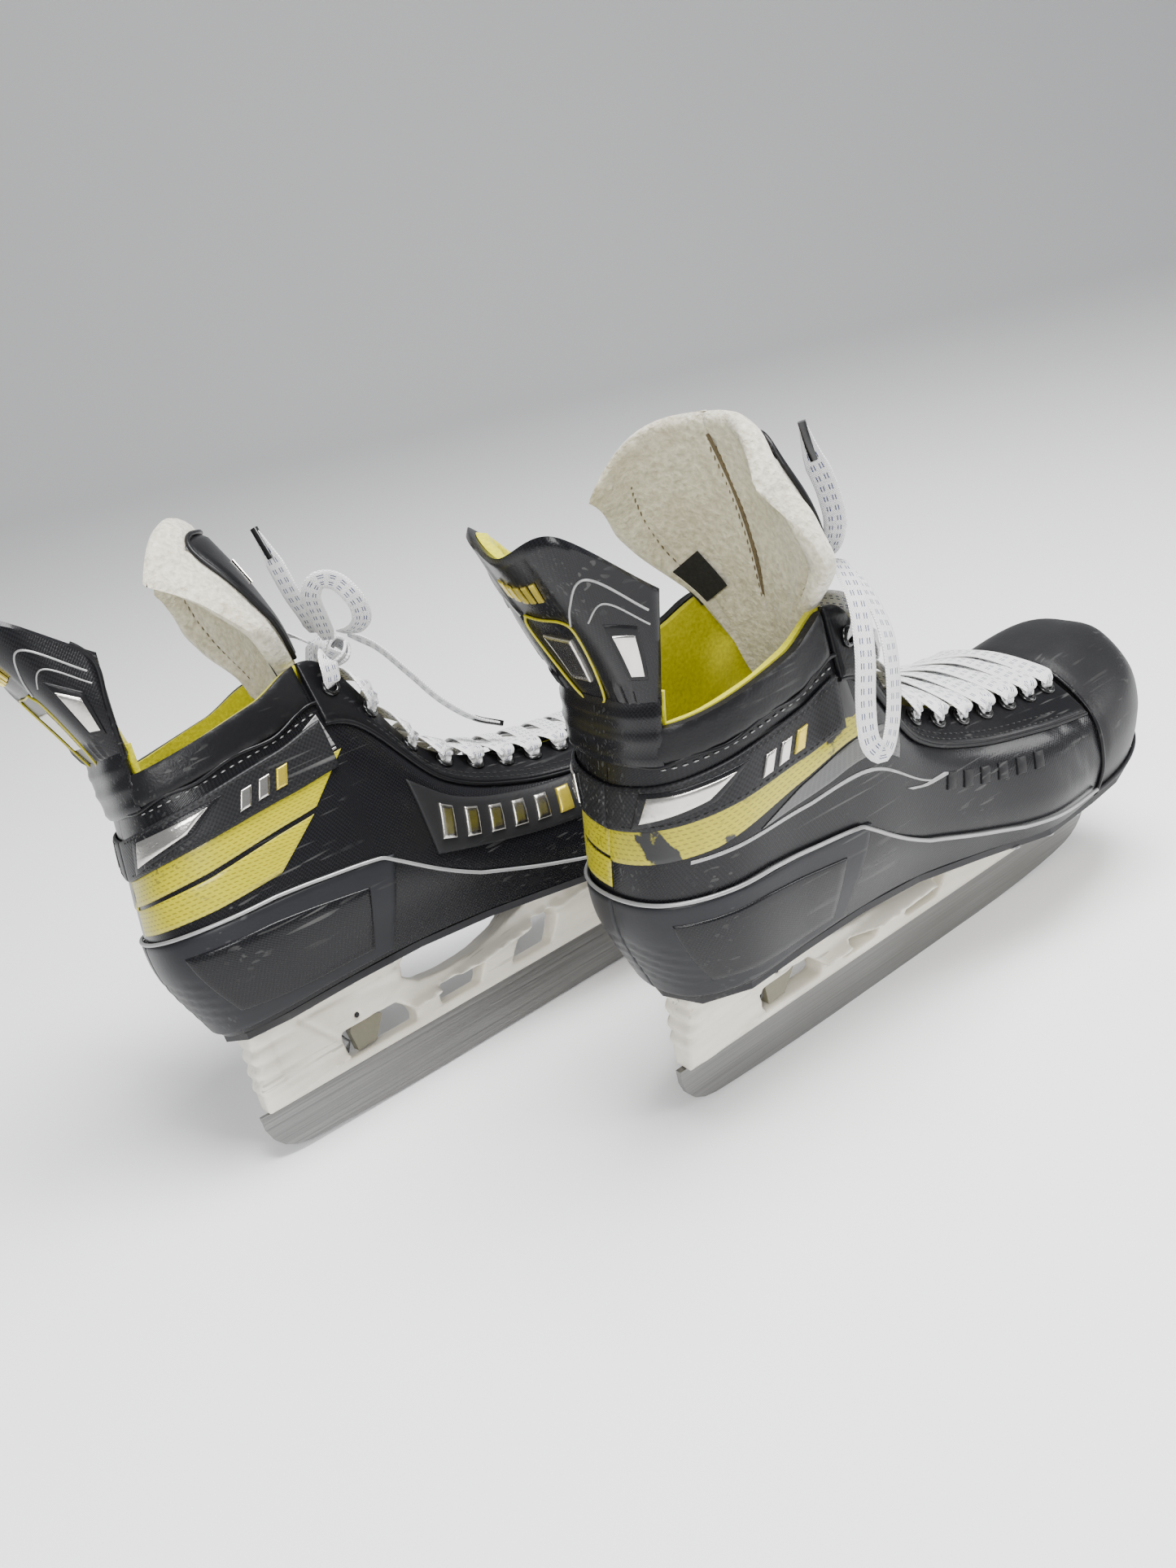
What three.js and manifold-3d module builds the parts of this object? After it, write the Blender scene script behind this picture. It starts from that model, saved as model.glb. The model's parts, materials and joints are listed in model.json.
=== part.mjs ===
// A pair of ice hockey skates, standing side by side on their steel runners, the right one leaning outwards.
//
// Each skate is drawn in a frame of its own: millimetres, x forward from the rearmost point of the heel,
// +y towards the inner (medial) side of a right foot, z up from the ice. The left skate is its mirror image.
import * as THREE from "three";
import { mergeVertices } from "three/addons/utils/BufferGeometryUtils.js";
import Module from "manifold-3d";

const wasm = await Module();
wasm.setup();

// ---------------------------------------------------------------- driving dimensions

const GAP = 0.4; // clearance between pieces that touch
const TOE_JOINT = 238; // where the quarters end and the toe cap begins
const TOE_LENGTH = 62; // toe cap, from that joint to the nose
const TOE_HEIGHT = 57; // the height of its lower edge at the joint
const TOE_SPRING = 14; // how much higher that edge is at the nose
const SHELL = 2; // thickness of the quarters
const LINER = 2.6; // thickness of the liner
const FACING = 1.6; // thickness of the eyelet facings
const SOLE_THICKNESS = 3;
const EYELETS = 10; // in each row
const LACE_WIDTH = 8.5;
const LACE_THICKNESS = 1.2;
const CORD_DIAMETER = 4; // the flat lace, folded, where it hangs free
const RUNNER_THICKNESS = 3;
const RUNNER_TOP = 21.6;
const HOLDER_BOTTOM = 22;
const RUNNER_PIVOT = [284, 27]; // x and z of the front hook
const TRIGGER_PIVOT = [67, 43]; // x and z of the trigger's pin
const PIN_RADIUS = 1.4;

// The right skate stands beside and behind the left one, and leans away from it on its runner's edge.
const RIGHT_SKATE_X = -134;
const RIGHT_SKATE_Y = 118;
const RIGHT_LEAN = THREE.MathUtils.degToRad(16);

// Ribs of the boot's outer wall, from the toe cap back to the heel. Each one rises from the sole's edge
// to the eyelet edge or the collar in four points: x, distance from the middle plane, z.
const RIBS = [
  [[238, 45, 57], [238, 50, 76], [237, 45, 98], [236, 23, 115]],
  [[205, 46, 56], [205, 51, 77], [204, 45, 101], [204, 23, 118]],
  [[168, 40, 60], [169, 46, 82], [169, 42, 106], [168, 24, 125]],
  [[132, 35, 64], [134, 43, 90], [135, 42, 119], [132, 27, 144]],
  [[98, 32, 66], [100, 41, 98], [105, 41, 147], [103, 33, 194]],
  [[64, 31, 66], [64, 38, 100], [68, 40, 148], [70, 39, 188]],
  [[34, 30, 65], [28, 35, 100], [34, 38, 146], [38, 37, 182]],
  [[17, 19, 63], [6, 22, 100], [12, 25, 144], [17, 27, 179]],
  [[12, 0, 62], [0, 0, 100], [6, 0, 142], [13, 0, 178]],
];
// The inner side of a foot is straighter than the outer side: how wide each rib is there.
const MEDIAL_WIDTH = [0.96, 0.95, 0.91, 0.88, 0.93, 0.97, 1, 1, 1];
const HEEL = RIBS.length - 1; // number of the rib on the middle plane
const RIB_SPAN = 2 * HEEL; // ribs from one end of the throat to the other

// ---------------------------------------------------------------- materials

function plastic(colour, roughness = 0.5, metalness = 0) {
  return new THREE.MeshStandardMaterial({ color: colour, roughness, metalness });
}

const MATERIALS = {
  steel: plastic("#9a9da0", 0.35, 1),
  holder: plastic("#e9e4d8", 0.45),
  trigger: plastic("#5c5a45", 0.55),
  darkMetal: plastic("#3a3c3f", 0.4, 1),
  sole: plastic("#1c1d1f", 0.6),
  shell: plastic("#0e0f11", 0.25),
  toe: plastic("#1f2022", 0.6),
  overlay: plastic("#26282c", 0.4),
  facing: plastic("#101113", 0.4),
  collar: plastic("#141517", 0.45),
  lining: plastic("#d2d000", 0.9),
  felt: plastic("#e4e0d2", 1),
  footbed: plastic("#30323a", 0.9),
  lace: plastic("#f2f2f0", 0.9),
};

// ---------------------------------------------------------------- solids

function signedVolume(positions, triangles) {
  const corners = [0, 1, 2].map(() => new THREE.Vector3());
  let volume = 0;
  for (let i = 0; i < triangles.length; i += 3) {
    corners.forEach((corner, k) => corner.fromArray(positions, 3 * triangles[i + k]));
    volume += corners[0].dot(corners[1].clone().cross(corners[2])) / 6;
  }
  return volume;
}

// Merges a geometry's shared points, drops faces that have shrunk to a line, and turns it outwards.
function tidySolid(geometry) {
  const bare = geometry.clone();
  bare.deleteAttribute("normal");
  bare.deleteAttribute("uv");
  const merged = mergeVertices(bare, 1e-3);
  const triangles = [];
  const index = merged.index.array;
  for (let i = 0; i < index.length; i += 3) {
    const [a, b, c] = [index[i], index[i + 1], index[i + 2]];
    if (a !== b && b !== c && c !== a) triangles.push(a, b, c);
  }
  if (signedVolume(merged.attributes.position.array, triangles) < 0) triangles.reverse();
  merged.setIndex(triangles);
  return merged;
}

function toManifold(geometry) {
  const solid = tidySolid(geometry);
  return new wasm.Manifold(new wasm.Mesh({
    numProp: 3,
    vertProperties: new Float32Array(solid.attributes.position.array),
    triVerts: new Uint32Array(solid.index.array),
  }));
}

function fromManifold(solid) {
  const mesh = solid.getMesh();
  const geometry = new THREE.BufferGeometry();
  geometry.setAttribute("position", new THREE.BufferAttribute(new Float32Array(mesh.vertProperties), 3));
  geometry.setIndex(Array.from(mesh.triVerts));
  return geometry;
}

function join(geometries) {
  return fromManifold(geometries.map(toManifold).reduce((whole, piece) => whole.add(piece)));
}

function cut(geometry, tools) {
  const left = tools.map(toManifold).reduce((whole, tool) => whole.subtract(tool), toManifold(geometry));
  return fromManifold(left);
}

// A closed wall between two grids of points that have the same rows and columns.
function wallBetween(outer, inner) {
  const rows = outer.length;
  const columns = outer[0].length;
  const points = [...outer.flat(), ...inner.flat()];
  const at = (layer, row, column) => layer * rows * columns + row * columns + column;
  const triangles = [];
  const quad = (a, b, c, d) => triangles.push(a, b, c, a, c, d);
  for (let r = 0; r < rows - 1; r += 1) {
    for (let c = 0; c < columns - 1; c += 1) {
      quad(at(0, r, c), at(0, r + 1, c), at(0, r + 1, c + 1), at(0, r, c + 1));
      quad(at(1, r, c), at(1, r, c + 1), at(1, r + 1, c + 1), at(1, r + 1, c));
    }
    quad(at(0, r, 0), at(1, r, 0), at(1, r + 1, 0), at(0, r + 1, 0));
    const end = columns - 1;
    quad(at(0, r, end), at(0, r + 1, end), at(1, r + 1, end), at(1, r, end));
  }
  for (let c = 0; c < columns - 1; c += 1) {
    quad(at(0, 0, c), at(0, 0, c + 1), at(1, 0, c + 1), at(1, 0, c));
    quad(at(0, rows - 1, c), at(1, rows - 1, c), at(1, rows - 1, c + 1), at(0, rows - 1, c + 1));
  }
  const geometry = new THREE.BufferGeometry();
  geometry.setAttribute("position", new THREE.Float32BufferAttribute(points.flatMap((p) => p.toArray()), 3));
  geometry.setIndex(triangles);
  return tidySolid(geometry);
}

// A side view outline in x and z, made as thick as halfWidth says at each of its points.
function sideSolid(outline, halfWidth) {
  const shape = new THREE.Shape(outline.map(([x, z]) => new THREE.Vector2(x, z)));
  const geometry = new THREE.ExtrudeGeometry(shape, { depth: 2, bevelEnabled: false });
  const position = geometry.attributes.position;
  for (let i = 0; i < position.count; i += 1) {
    const [x, z, side] = [position.getX(i), position.getY(i), position.getZ(i) - 1];
    position.setXYZ(i, x, side * halfWidth(x, z), z);
  }
  return tidySolid(geometry);
}

function box(x0, x1, y, z0, z1) {
  return new THREE.BoxGeometry(x1 - x0, 2 * y, z1 - z0).translate((x0 + x1) / 2, 0, (z0 + z1) / 2);
}

// A round bar across the skate, at x and z.
function crossBar(radius, halfLength, [x, z]) {
  return new THREE.CylinderGeometry(radius, radius, 2 * halfLength, 12).translate(x, 0, z);
}

const mix = THREE.MathUtils.lerp;

function smoothCurve(points) {
  return new THREE.CatmullRomCurve3(points, false, "catmullrom", 0.5);
}

// Values from one number to another, passing through every multiple of step between them.
function lines(from, to, step) {
  const inside = [];
  for (let k = Math.ceil(from / step + 0.1); k * step < to - 0.1 * step; k += 1) inside.push(k * step);
  return [from, ...inside, to];
}

// ---------------------------------------------------------------- the boot's outer surface

function rail(level) {
  const lateral = RIBS.map((rib) => rib[level]);
  const points = lateral.map(([x, y, z]) => new THREE.Vector3(x, -y, z));
  for (let i = HEEL - 1; i >= 0; i -= 1) {
    const [x, y, z] = lateral[i];
    points.push(new THREE.Vector3(x, y * MEDIAL_WIDTH[i], z));
  }
  return smoothCurve(points);
}

const RAILS = [0, 1, 2, 3].map(rail);

// rib runs from 0 at the outer end of the throat, by HEEL behind, to RIB_SPAN at its inner end,
// and height from 0 at the sole's edge to 1 at the eyelets or the collar.
function bootPoint(rib, height) {
  const column = RAILS.map((curve) => curve.getPoint(rib / RIB_SPAN));
  return smoothCurve(column).getPoint(height);
}

function bootNormal(rib, height) {
  const step = 0.02;
  const [back, ahead] = [Math.max(rib - step, 0), Math.min(rib + step, RIB_SPAN)];
  const [below, above] = [Math.max(height - step, 0), Math.min(height + step, 1)];
  const along = bootPoint(ahead, height).sub(bootPoint(back, height));
  const up = bootPoint(rib, above).sub(bootPoint(rib, below));
  return up.cross(along).normalize();
}

function onBoot(rib, height, offset) {
  return bootPoint(rib, height).addScaledVector(bootNormal(rib, height), offset);
}

// A piece of the boot's wall, from one distance off the surface to another. low and high may follow the rib.
// Between them all patches use the same heights, so that the faces of neighbouring layers are parallel.
function bootPatch({ from, to, low, high, inner, outer, ribStep = 0.5, heightStep = 1 / 6 }) {
  const lowAt = typeof low === "function" ? low : () => low;
  const highAt = typeof high === "function" ? high : () => high;
  const ribs = lines(from, to, ribStep);
  const between = lines(Math.max(...ribs.map(lowAt)), Math.min(...ribs.map(highAt)), heightStep).slice(1, -1);
  const grid = (offset) => ribs.map((rib) =>
    [lowAt(rib), ...between, highAt(rib)].map((height) => onBoot(rib, height, offset)));
  return wallBetween(grid(outer), grid(inner));
}

const mirrorRib = (rib) => RIB_SPAN - rib;

// The same patch on the inner side of the boot.
function medialPatch(options) {
  const { from, to, low, high } = options;
  const mirrored = (edge) => (typeof edge === "function" ? (rib) => edge(mirrorRib(rib)) : edge);
  return bootPatch({
    ...options, from: mirrorRib(to), to: mirrorRib(from), low: mirrored(low), high: mirrored(high),
  });
}

// ---------------------------------------------------------------- toe cap and sole

// How the toe cap narrows and lowers from its joint (turn 0) to its nose (turn 90 degrees).
function toeShape(turn) {
  const round = 1 - Math.cos(turn);
  return {
    reach: Math.sin(turn),
    width: Math.max(Math.cos(turn), 0) ** 0.6,
    floor: TOE_HEIGHT + TOE_SPRING * round,
    height: 1 + 0.08 * Math.sin(2 * turn) - 0.58 * round ** 1.5,
  };
}

const TOE_CREST = [236, 0, 118];
const TOE_SECTION = smoothCurve([
  ...[...RIBS[0], TOE_CREST].map(([, y, z]) => new THREE.Vector3(0, -y, z)),
  ...[...RIBS[0]].reverse().map(([, y, z]) => new THREE.Vector3(0, y * MEDIAL_WIDTH[0], z)),
]);

function toePoint(turn, share, inset) {
  const { reach, width, floor, height } = toeShape(turn);
  const section = TOE_SECTION.getPoint(share);
  const shrink = 1 - inset / 50;
  return new THREE.Vector3(
    TOE_JOINT + GAP + (TOE_LENGTH - GAP - inset) * reach,
    section.y * width * shrink,
    floor + (section.z - TOE_HEIGHT) * height * shrink,
  );
}

const TOE_TURNS = [0, 20, 40, 58, 74, 90].map(THREE.MathUtils.degToRad);

function toeCap() {
  const grid = (inset) => TOE_TURNS.map((turn) =>
    lines(0, 1, 1 / 12).map((share) => toePoint(turn, share, inset)));
  return wallBetween(grid(0), grid(2.6));
}

// The sole's edge from heel to nose: x, the two half widths and z.
const SOLE_STATIONS = [
  ...RIBS.map(([[x, y, z]], i) => ({ x, lateral: y, medial: y * MEDIAL_WIDTH[i], z })).reverse(),
  ...TOE_TURNS.slice(1).map((turn) => {
    const { reach, width, floor } = toeShape(turn);
    const half = RIBS[0][0][1] * width;
    return { x: TOE_JOINT + TOE_LENGTH * reach, lateral: half, medial: half * MEDIAL_WIDTH[0], z: floor };
  }),
];

function soleHeight(x) {
  const next = Math.max(SOLE_STATIONS.findIndex((station) => station.x >= x), 1);
  const [a, b] = [SOLE_STATIONS[next - 1], SOLE_STATIONS[next]];
  return mix(a.z, b.z, (x - a.x) / (b.x - a.x));
}

// A plate that follows the sole, set in from its edge.
function solePlate(inset, bottom, top) {
  const first = SOLE_STATIONS[0].x;
  const last = SOLE_STATIONS.at(-1).x;
  const grid = (offset) => SOLE_STATIONS.map(({ x, lateral, medial, z }) => {
    const place = mix(first + inset, last - inset, (x - first) / (last - first));
    const [left, right] = [Math.max(medial - inset, 0), -Math.max(lateral - inset, 0)];
    return [right, right / 2, 0, left / 2, left].map((y) => new THREE.Vector3(place, y, z + offset));
  });
  return wallBetween(grid(top), grid(bottom));
}

// ---------------------------------------------------------------- quarters, liner and what is sewn on them

const COLLAR_FROM = 4.25; // ribs between which the padded collar replaces the top of the quarter
const COLLAR_TO = 7.1;
const FACING_FROM = 0.05;
const FACING_TO = 4.2;
const EYELET_HEIGHT = 0.91; // where the eyelets' middles are on the facing
const EYELET_BASE = 3 * GAP + FACING; // off the boot's surface, above the facing
const EYELET_HOLE = 2.2; // radius
const EYELET_RIM = 1.1; // how far the eyelets stand above that

// The quarters reach the eyelet edge in front, and stop lower under the padded collar.
function quarterTop(rib) {
  return mix(1, 0.86, THREE.MathUtils.smoothstep(rib, COLLAR_FROM - 0.5, COLLAR_FROM));
}

const quarter = { from: 0, to: HEEL - 0.008, low: 0, high: quarterTop, inner: -SHELL, outer: 0 };
const facing = {
  from: FACING_FROM, to: FACING_TO, low: (rib) => mix(0.68, 0.8, rib / FACING_TO), high: 1,
  inner: GAP, outer: GAP + FACING,
};
const collarPad = {
  from: COLLAR_FROM + 0.1, to: COLLAR_TO, low: 0.88, high: 1, inner: -SHELL, outer: 1.6,
};

function liner() {
  return bootPatch({
    from: 0.1, to: RIB_SPAN - 0.1, low: 0, high: 1, inner: -SHELL - 3 * GAP - LINER, outer: -SHELL - 3 * GAP,
  });
}

function heelCounter() {
  const front = 4;
  return bootPatch({
    from: front, to: mirrorRib(front), low: 0.02, high: 0.42, inner: GAP, outer: GAP + 1.4,
  });
}

// The woven strap runs round behind the ankle, lower at the back than where it meets the facings.
function ankleStrap() {
  const middle = (rib) => mix(0.7, 0.745, Math.abs(rib - HEEL) / (HEEL - FACING_TO));
  return bootPatch({
    from: FACING_TO + 0.15, to: mirrorRib(FACING_TO + 0.15),
    low: (rib) => middle(rib) - 0.07, high: (rib) => middle(rib) + 0.08,
    inner: 2 * GAP, outer: 2 * GAP + 1,
  });
}

const eyeletRib = (number) => 0.3 + (number * 3.72) / (EYELETS - 1);

// A row of eyelets, on the strip that holds them in line.
function eyeletRow(side) {
  const ribAt = side < 0 ? eyeletRib : (number) => mirrorRib(eyeletRib(number));
  const [from, to] = [ribAt(0), ribAt(EYELETS - 1)].sort((a, b) => a - b);
  const strip = bootPatch({
    from: from - 0.2, to: to + 0.12, low: EYELET_HEIGHT - 0.05, high: EYELET_HEIGHT + 0.05,
    inner: EYELET_BASE, outer: EYELET_BASE + EYELET_RIM,
  });
  const holes = [];
  for (let number = 0; number < EYELETS; number += 1) {
    const rib = ribAt(number);
    const turn = new THREE.Quaternion().setFromUnitVectors(
      new THREE.Vector3(0, 1, 0), bootNormal(rib, EYELET_HEIGHT));
    const place = onBoot(rib, EYELET_HEIGHT, EYELET_BASE);
    const drill = new THREE.CylinderGeometry(EYELET_HOLE, EYELET_HOLE, 8, 6);
    holes.push(drill.applyQuaternion(turn).translate(...place.toArray()));
  }
  return cut(strip, holes);
}

// ---------------------------------------------------------------- tendon guard

const GUARD_RAILS = [
  [[17, 29, 187], [13, 18, 185], [12, 0, 184]],
  [[19, 33, 207], [3, 24, 214], [1, 0, 214]],
  [[22, 35, 228], [-9, 26, 254], [-17, 0, 247]],
].map((points) => {
  const side = points.map(([x, y, z]) => new THREE.Vector3(x, -y, z));
  const other = points.slice(0, 2).reverse().map(([x, y, z]) => new THREE.Vector3(x, y, z));
  return smoothCurve([...side, ...other]);
});

function guardPoint(around, up) {
  const column = GUARD_RAILS.map((curve) => curve.getPoint(around));
  return smoothCurve(column).getPoint(up);
}

function guardLayer(outer, inner, low, high) {
  const grid = (offset) => lines(0, 1, 1 / 12).map((around) => lines(low, high, 1 / 5).map((up) => {
    const step = 0.02;
    const along = guardPoint(Math.min(around + step, 1), up).sub(guardPoint(Math.max(around - step, 0), up));
    const rise = guardPoint(around, Math.min(up + step, 1)).sub(guardPoint(around, Math.max(up - step, 0)));
    return guardPoint(around, up).addScaledVector(rise.cross(along).normalize(), offset);
  }));
  return wallBetween(grid(outer), grid(inner));
}

// ---------------------------------------------------------------- tongue

const TONGUE_HINGE = [104, 187]; // x and z where the tongue bends, at the top eyelets
const TONGUE_THICKNESS = 8;
const TONGUE_RISE = 84; // from the hinge to its top

// Under the laces: x and z of the tongue's upper face, and its half width.
const TONGUE_PATH = [
  [228, 106, 13], [196, 108, 14], [160, 117, 15], [131, 134, 17], [112, 163, 20], [104, 185, 22],
];

function tongueLower() {
  const middle = smoothCurve(TONGUE_PATH.map(([x, z]) => new THREE.Vector3(x, 0, z)));
  const widths = smoothCurve(TONGUE_PATH.map(([, , half]) => new THREE.Vector3(half, 0, 0)));
  const grid = (depth) => lines(0, 1, 1 / 10).map((share) => {
    const along = middle.getTangent(share);
    const outward = new THREE.Vector3(along.z, 0, -along.x).normalize();
    const half = widths.getPoint(share).x;
    return [-1, -0.5, 0, 0.5, 1].map((side) => middle.getPoint(share)
      .add(new THREE.Vector3(0, side * half, 0)).addScaledVector(outward, -depth - 3 * side * side));
  });
  return wallBetween(grid(0), grid(TONGUE_THICKNESS));
}

// Above the laces the tongue is a trough, open to the back, that widens upwards and has a rounded top.
// Its inner wing stands further forward than its outer one.
function tonguePoint(across, up, depth) {
  const [hingeX, hingeZ] = TONGUE_HINGE;
  const half = mix(24, 50, THREE.MathUtils.smoothstep(up, 0.06, 0.5));
  const hollow = mix(9, 15, up) * across * across;
  const twist = 11 * across * up;
  const bulge = 5 * Math.sin(Math.PI * up);
  const drop = 30 * Math.abs(across) ** 3 * up * up;
  const x = hingeX + 1 - 19 * up + bulge - hollow + twist - depth;
  return new THREE.Vector3(x, half * across * (1 - depth / 80), hingeZ + TONGUE_RISE * up - drop);
}

function tongueLayer(front, back, width, low, high) {
  const grid = (depth) => lines(low, high, 1 / 6).map((up) =>
    lines(-width, width, 1 / 4).map((across) => tonguePoint(across, up, depth)));
  return wallBetween(grid(front), grid(back));
}

// ---------------------------------------------------------------- lacing

const LACE_HEIGHT = EYELET_BASE + EYELET_RIM + 1.8; // off the boot's surface, clear of the curved facings
const LACE_CROWN = 3; // how far the lace stands above the straight line between its eyelets

function eyeletPlace(side, number, height) {
  const rib = side < 0 ? eyeletRib(number) : mirrorRib(eyeletRib(number));
  return { point: onBoot(rib, height, LACE_HEIGHT), normal: bootNormal(rib, height) };
}

// One length of lace from an outer eyelet, over the facings' edges, to an inner one, passing over its
// neighbour where they cross if it is lifted.
function laceSpan(outerNumber, innerNumber, lift = 0) {
  const ends = [
    eyeletPlace(-1, outerNumber, EYELET_HEIGHT), eyeletPlace(-1, mix(outerNumber, innerNumber, 0.15), 1),
    eyeletPlace(1, mix(innerNumber, outerNumber, 0.15), 1), eyeletPlace(1, innerNumber, EYELET_HEIGHT),
  ];
  const crown = ends[1].normal.clone().add(ends[2].normal).normalize();
  const middle = ends[1].point.clone().lerp(ends[2].point, 0.5).addScaledVector(crown, LACE_CROWN + lift);
  const path = [...ends.slice(0, 2), { point: middle, normal: crown }, ...ends.slice(2)];
  const grid = (offset) => path.map(({ point, normal }, i) => {
    const along = path[Math.min(i + 1, 4)].point.clone().sub(path[Math.max(i - 1, 0)].point);
    const across = along.cross(normal).normalize().multiplyScalar(LACE_WIDTH / 2);
    const centre = point.clone().addScaledVector(normal, offset);
    return [centre.clone().sub(across), centre.clone().add(across)];
  });
  return wallBetween(grid(LACE_THICKNESS), grid(0));
}

function lacing() {
  const spans = [laceSpan(0, 0)];
  for (let number = 0; number < EYELETS - 1; number += 1) {
    spans.push(laceSpan(number, number + 1), laceSpan(number + 1, number, 2 * LACE_THICKNESS));
  }
  return join(spans);
}

const KNOT = [125, 0, 196];

function knot() {
  return new THREE.SphereGeometry(1, 10, 8).scale(8, 11, 8).translate(...KNOT);
}

function cord(points) {
  const route = new THREE.CatmullRomCurve3(points.map((point) => new THREE.Vector3(...point)));
  const section = new THREE.Shape();
  section.absarc(0, 0, CORD_DIAMETER / 2, 0, 2 * Math.PI, false);
  const steps = Math.ceil(route.getLength() / (2.2 * CORD_DIAMETER));
  return new THREE.ExtrudeGeometry(section, {
    extrudePath: route, steps, curveSegments: 4, bevelEnabled: false,
  });
}

// Routes of the lace's loose ends, in each skate's own place but never mirrored: the bow was tied by hand.
const LOOSE_LACES = {
  left: {
    lace_loop_near: [
      [121, -12, 201], [115, -22, 207], [108, -34, 205], [102, -44, 196], [96, -50, 180], [91, -52, 162],
      [90, -53, 148], [96, -54, 142], [103, -53, 152], [108, -51, 168], [112, -46, 184], [118, -32, 197],
      [125, -15, 203],
    ],
    lace_loop_far: [
      [122, 12, 202], [118, 26, 210], [116, 38, 210], [116, 47, 199], [118, 51, 184], [123, 52, 172],
      [130, 51, 176], [131, 47, 190], [130, 36, 199], [128, 24, 203], [128, 13, 202],
    ],
    lace_tail_near: [
      [119, -10, 206], [116, -20, 212], [112, -28, 223], [107, -31, 237], [102, -31, 250], [100, -30, 262],
    ],
    lace_tail_far: [
      [133, 7, 200], [142, 22, 197], [146, 38, 188], [147, 50, 172], [147, 54, 152], [147, 56, 136],
    ],
  },
  right: {
    lace_loop_near: [
      [121, -12, 201], [117, -22, 211], [114, -30, 220], [117, -36, 225], [124, -38, 222], [129, -38, 212],
      [131, -32, 204], [130, -22, 201], [128, -12, 202],
    ],
    lace_loop_far: [
      [122, 12, 202], [118, 26, 210], [116, 38, 210], [116, 47, 199], [118, 51, 184], [123, 52, 172],
      [130, 51, 176], [131, 47, 190], [130, 36, 199], [128, 24, 203], [128, 13, 202],
    ],
    lace_tail_near: [[118, -9, 206], [114, -18, 212], [109, -24, 223], [106, -27, 238], [104, -26, 254]],
    lace_tail_far: [
      [133, -6, 200], [141, -12, 190], [148, -18, 174], [155, -23, 158], [165, -26, 145], [177, -28, 137],
    ],
  },
};

// ---------------------------------------------------------------- runner, holder and trigger

function runner() {
  const [pivotX, pivotZ] = RUNNER_PIVOT;
  const outline = new THREE.Shape();
  outline.moveTo(100, 0);
  outline.lineTo(200, 0);
  outline.quadraticCurveTo(250, 0.5, 272, 5);
  outline.quadraticCurveTo(288, 9, 291, RUNNER_TOP);
  outline.lineTo(pivotX + 4, RUNNER_TOP);
  outline.lineTo(pivotX + 3, pivotZ + 3);
  outline.lineTo(pivotX - 5, pivotZ + 3);
  outline.lineTo(pivotX - 5, RUNNER_TOP);
  outline.lineTo(54, RUNNER_TOP);
  outline.lineTo(52, RUNNER_TOP + 12);
  outline.lineTo(42, RUNNER_TOP + 12);
  outline.lineTo(40, RUNNER_TOP);
  outline.lineTo(12, RUNNER_TOP);
  outline.quadraticCurveTo(10, 4, 28, 2.2);
  outline.quadraticCurveTo(60, 0.3, 100, 0);
  const points = outline.getPoints(5).map(({ x, y }) => [x, y]);
  return sideSolid(points, () => RUNNER_THICKNESS / 2);
}

const HOLDER_WAIST = 44; // above this height the holder's two towers spread to carry the sole

function holderHalfWidth(x, z) {
  const nearest = SOLE_STATIONS.reduce((a, b) => (Math.abs(a.x - x) < Math.abs(b.x - x) ? a : b));
  const flange = Math.max(0.66 * nearest.medial, 12);
  const spread = Math.max(0, (z - HOLDER_WAIST) / (soleHeight(x) - SOLE_THICKNESS - HOLDER_WAIST));
  return mix(5.2, 6.6, Math.min((z - HOLDER_BOTTOM) / 16, 1)) + (flange - 6.6) * Math.min(spread, 1) ** 2;
}

function bladeHolder() {
  const top = (x) => [x, soleHeight(x) - SOLE_THICKNESS - 2 * GAP];
  const outline = [
    [15, HOLDER_BOTTOM], [286, HOLDER_BOTTOM], [294, 30], [297, 44], [295, 52],
    top(290), top(278), top(268), top(250), top(238), top(221), top(205), top(186), top(168),
    [158, 51], [146, 46], [132, 42.5], [114, 41.5], [100, 43], [93, 48], [93, 55], top(98), top(81), top(64),
    top(49), top(34), top(24), top(19), [18, 50], [16, 36],
  ];
  const windows = [
    [[57, 26], [93, 26], [93, 32], [86, 39], [57, 39]],
    [[106, 27], [128, 27], [134, 37], [107, 37]],
    [[146, 27], [170, 27], [178, 38], [172, 45], [160, 44]],
  ];
  const [pivotX, pivotZ] = RUNNER_PIVOT;
  const slotWidth = RUNNER_THICKNESS / 2 + GAP;
  const [pinX, pinZ] = TRIGGER_PIVOT;
  return cut(sideSolid(outline, holderHalfWidth), [
    ...windows.map((window) => sideSolid(window, () => 40)),
    box(pivotX - 7.5, pivotX + 12, slotWidth, HOLDER_BOTTOM - 1, pivotZ + 6),
    box(38, 56.5, slotWidth, HOLDER_BOTTOM - 1, RUNNER_TOP + 13),
    box(pinX - 7, pinX + 7.5, 3.4, 38, pinZ + 5),
    crossBar(PIN_RADIUS + 0.3, 40, TRIGGER_PIVOT),
  ]);
}

function trigger() {
  const [pinX, pinZ] = TRIGGER_PIVOT;
  const outline = [
    [62.5, 27], [72, 27.4], [79, 37], [pinX + 4, 40], [pinX + 4, pinZ + 3],
    [pinX - 4, pinZ + 3], [pinX - 4, 38], [62, 36],
  ];
  return cut(sideSolid(outline, () => 3), [crossBar(PIN_RADIUS + 0.3, 8, TRIGGER_PIVOT)]);
}

// A leaf of spring steel that pushes the trigger forward.
function triggerSpring() {
  const outline = [[57.4, 28], [58.2, 28], [61, 32.6], [58.2, 37.4], [57.4, 37.4], [60, 32.6]];
  return sideSolid(outline, () => 2);
}

// ---------------------------------------------------------------- assembly

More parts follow.
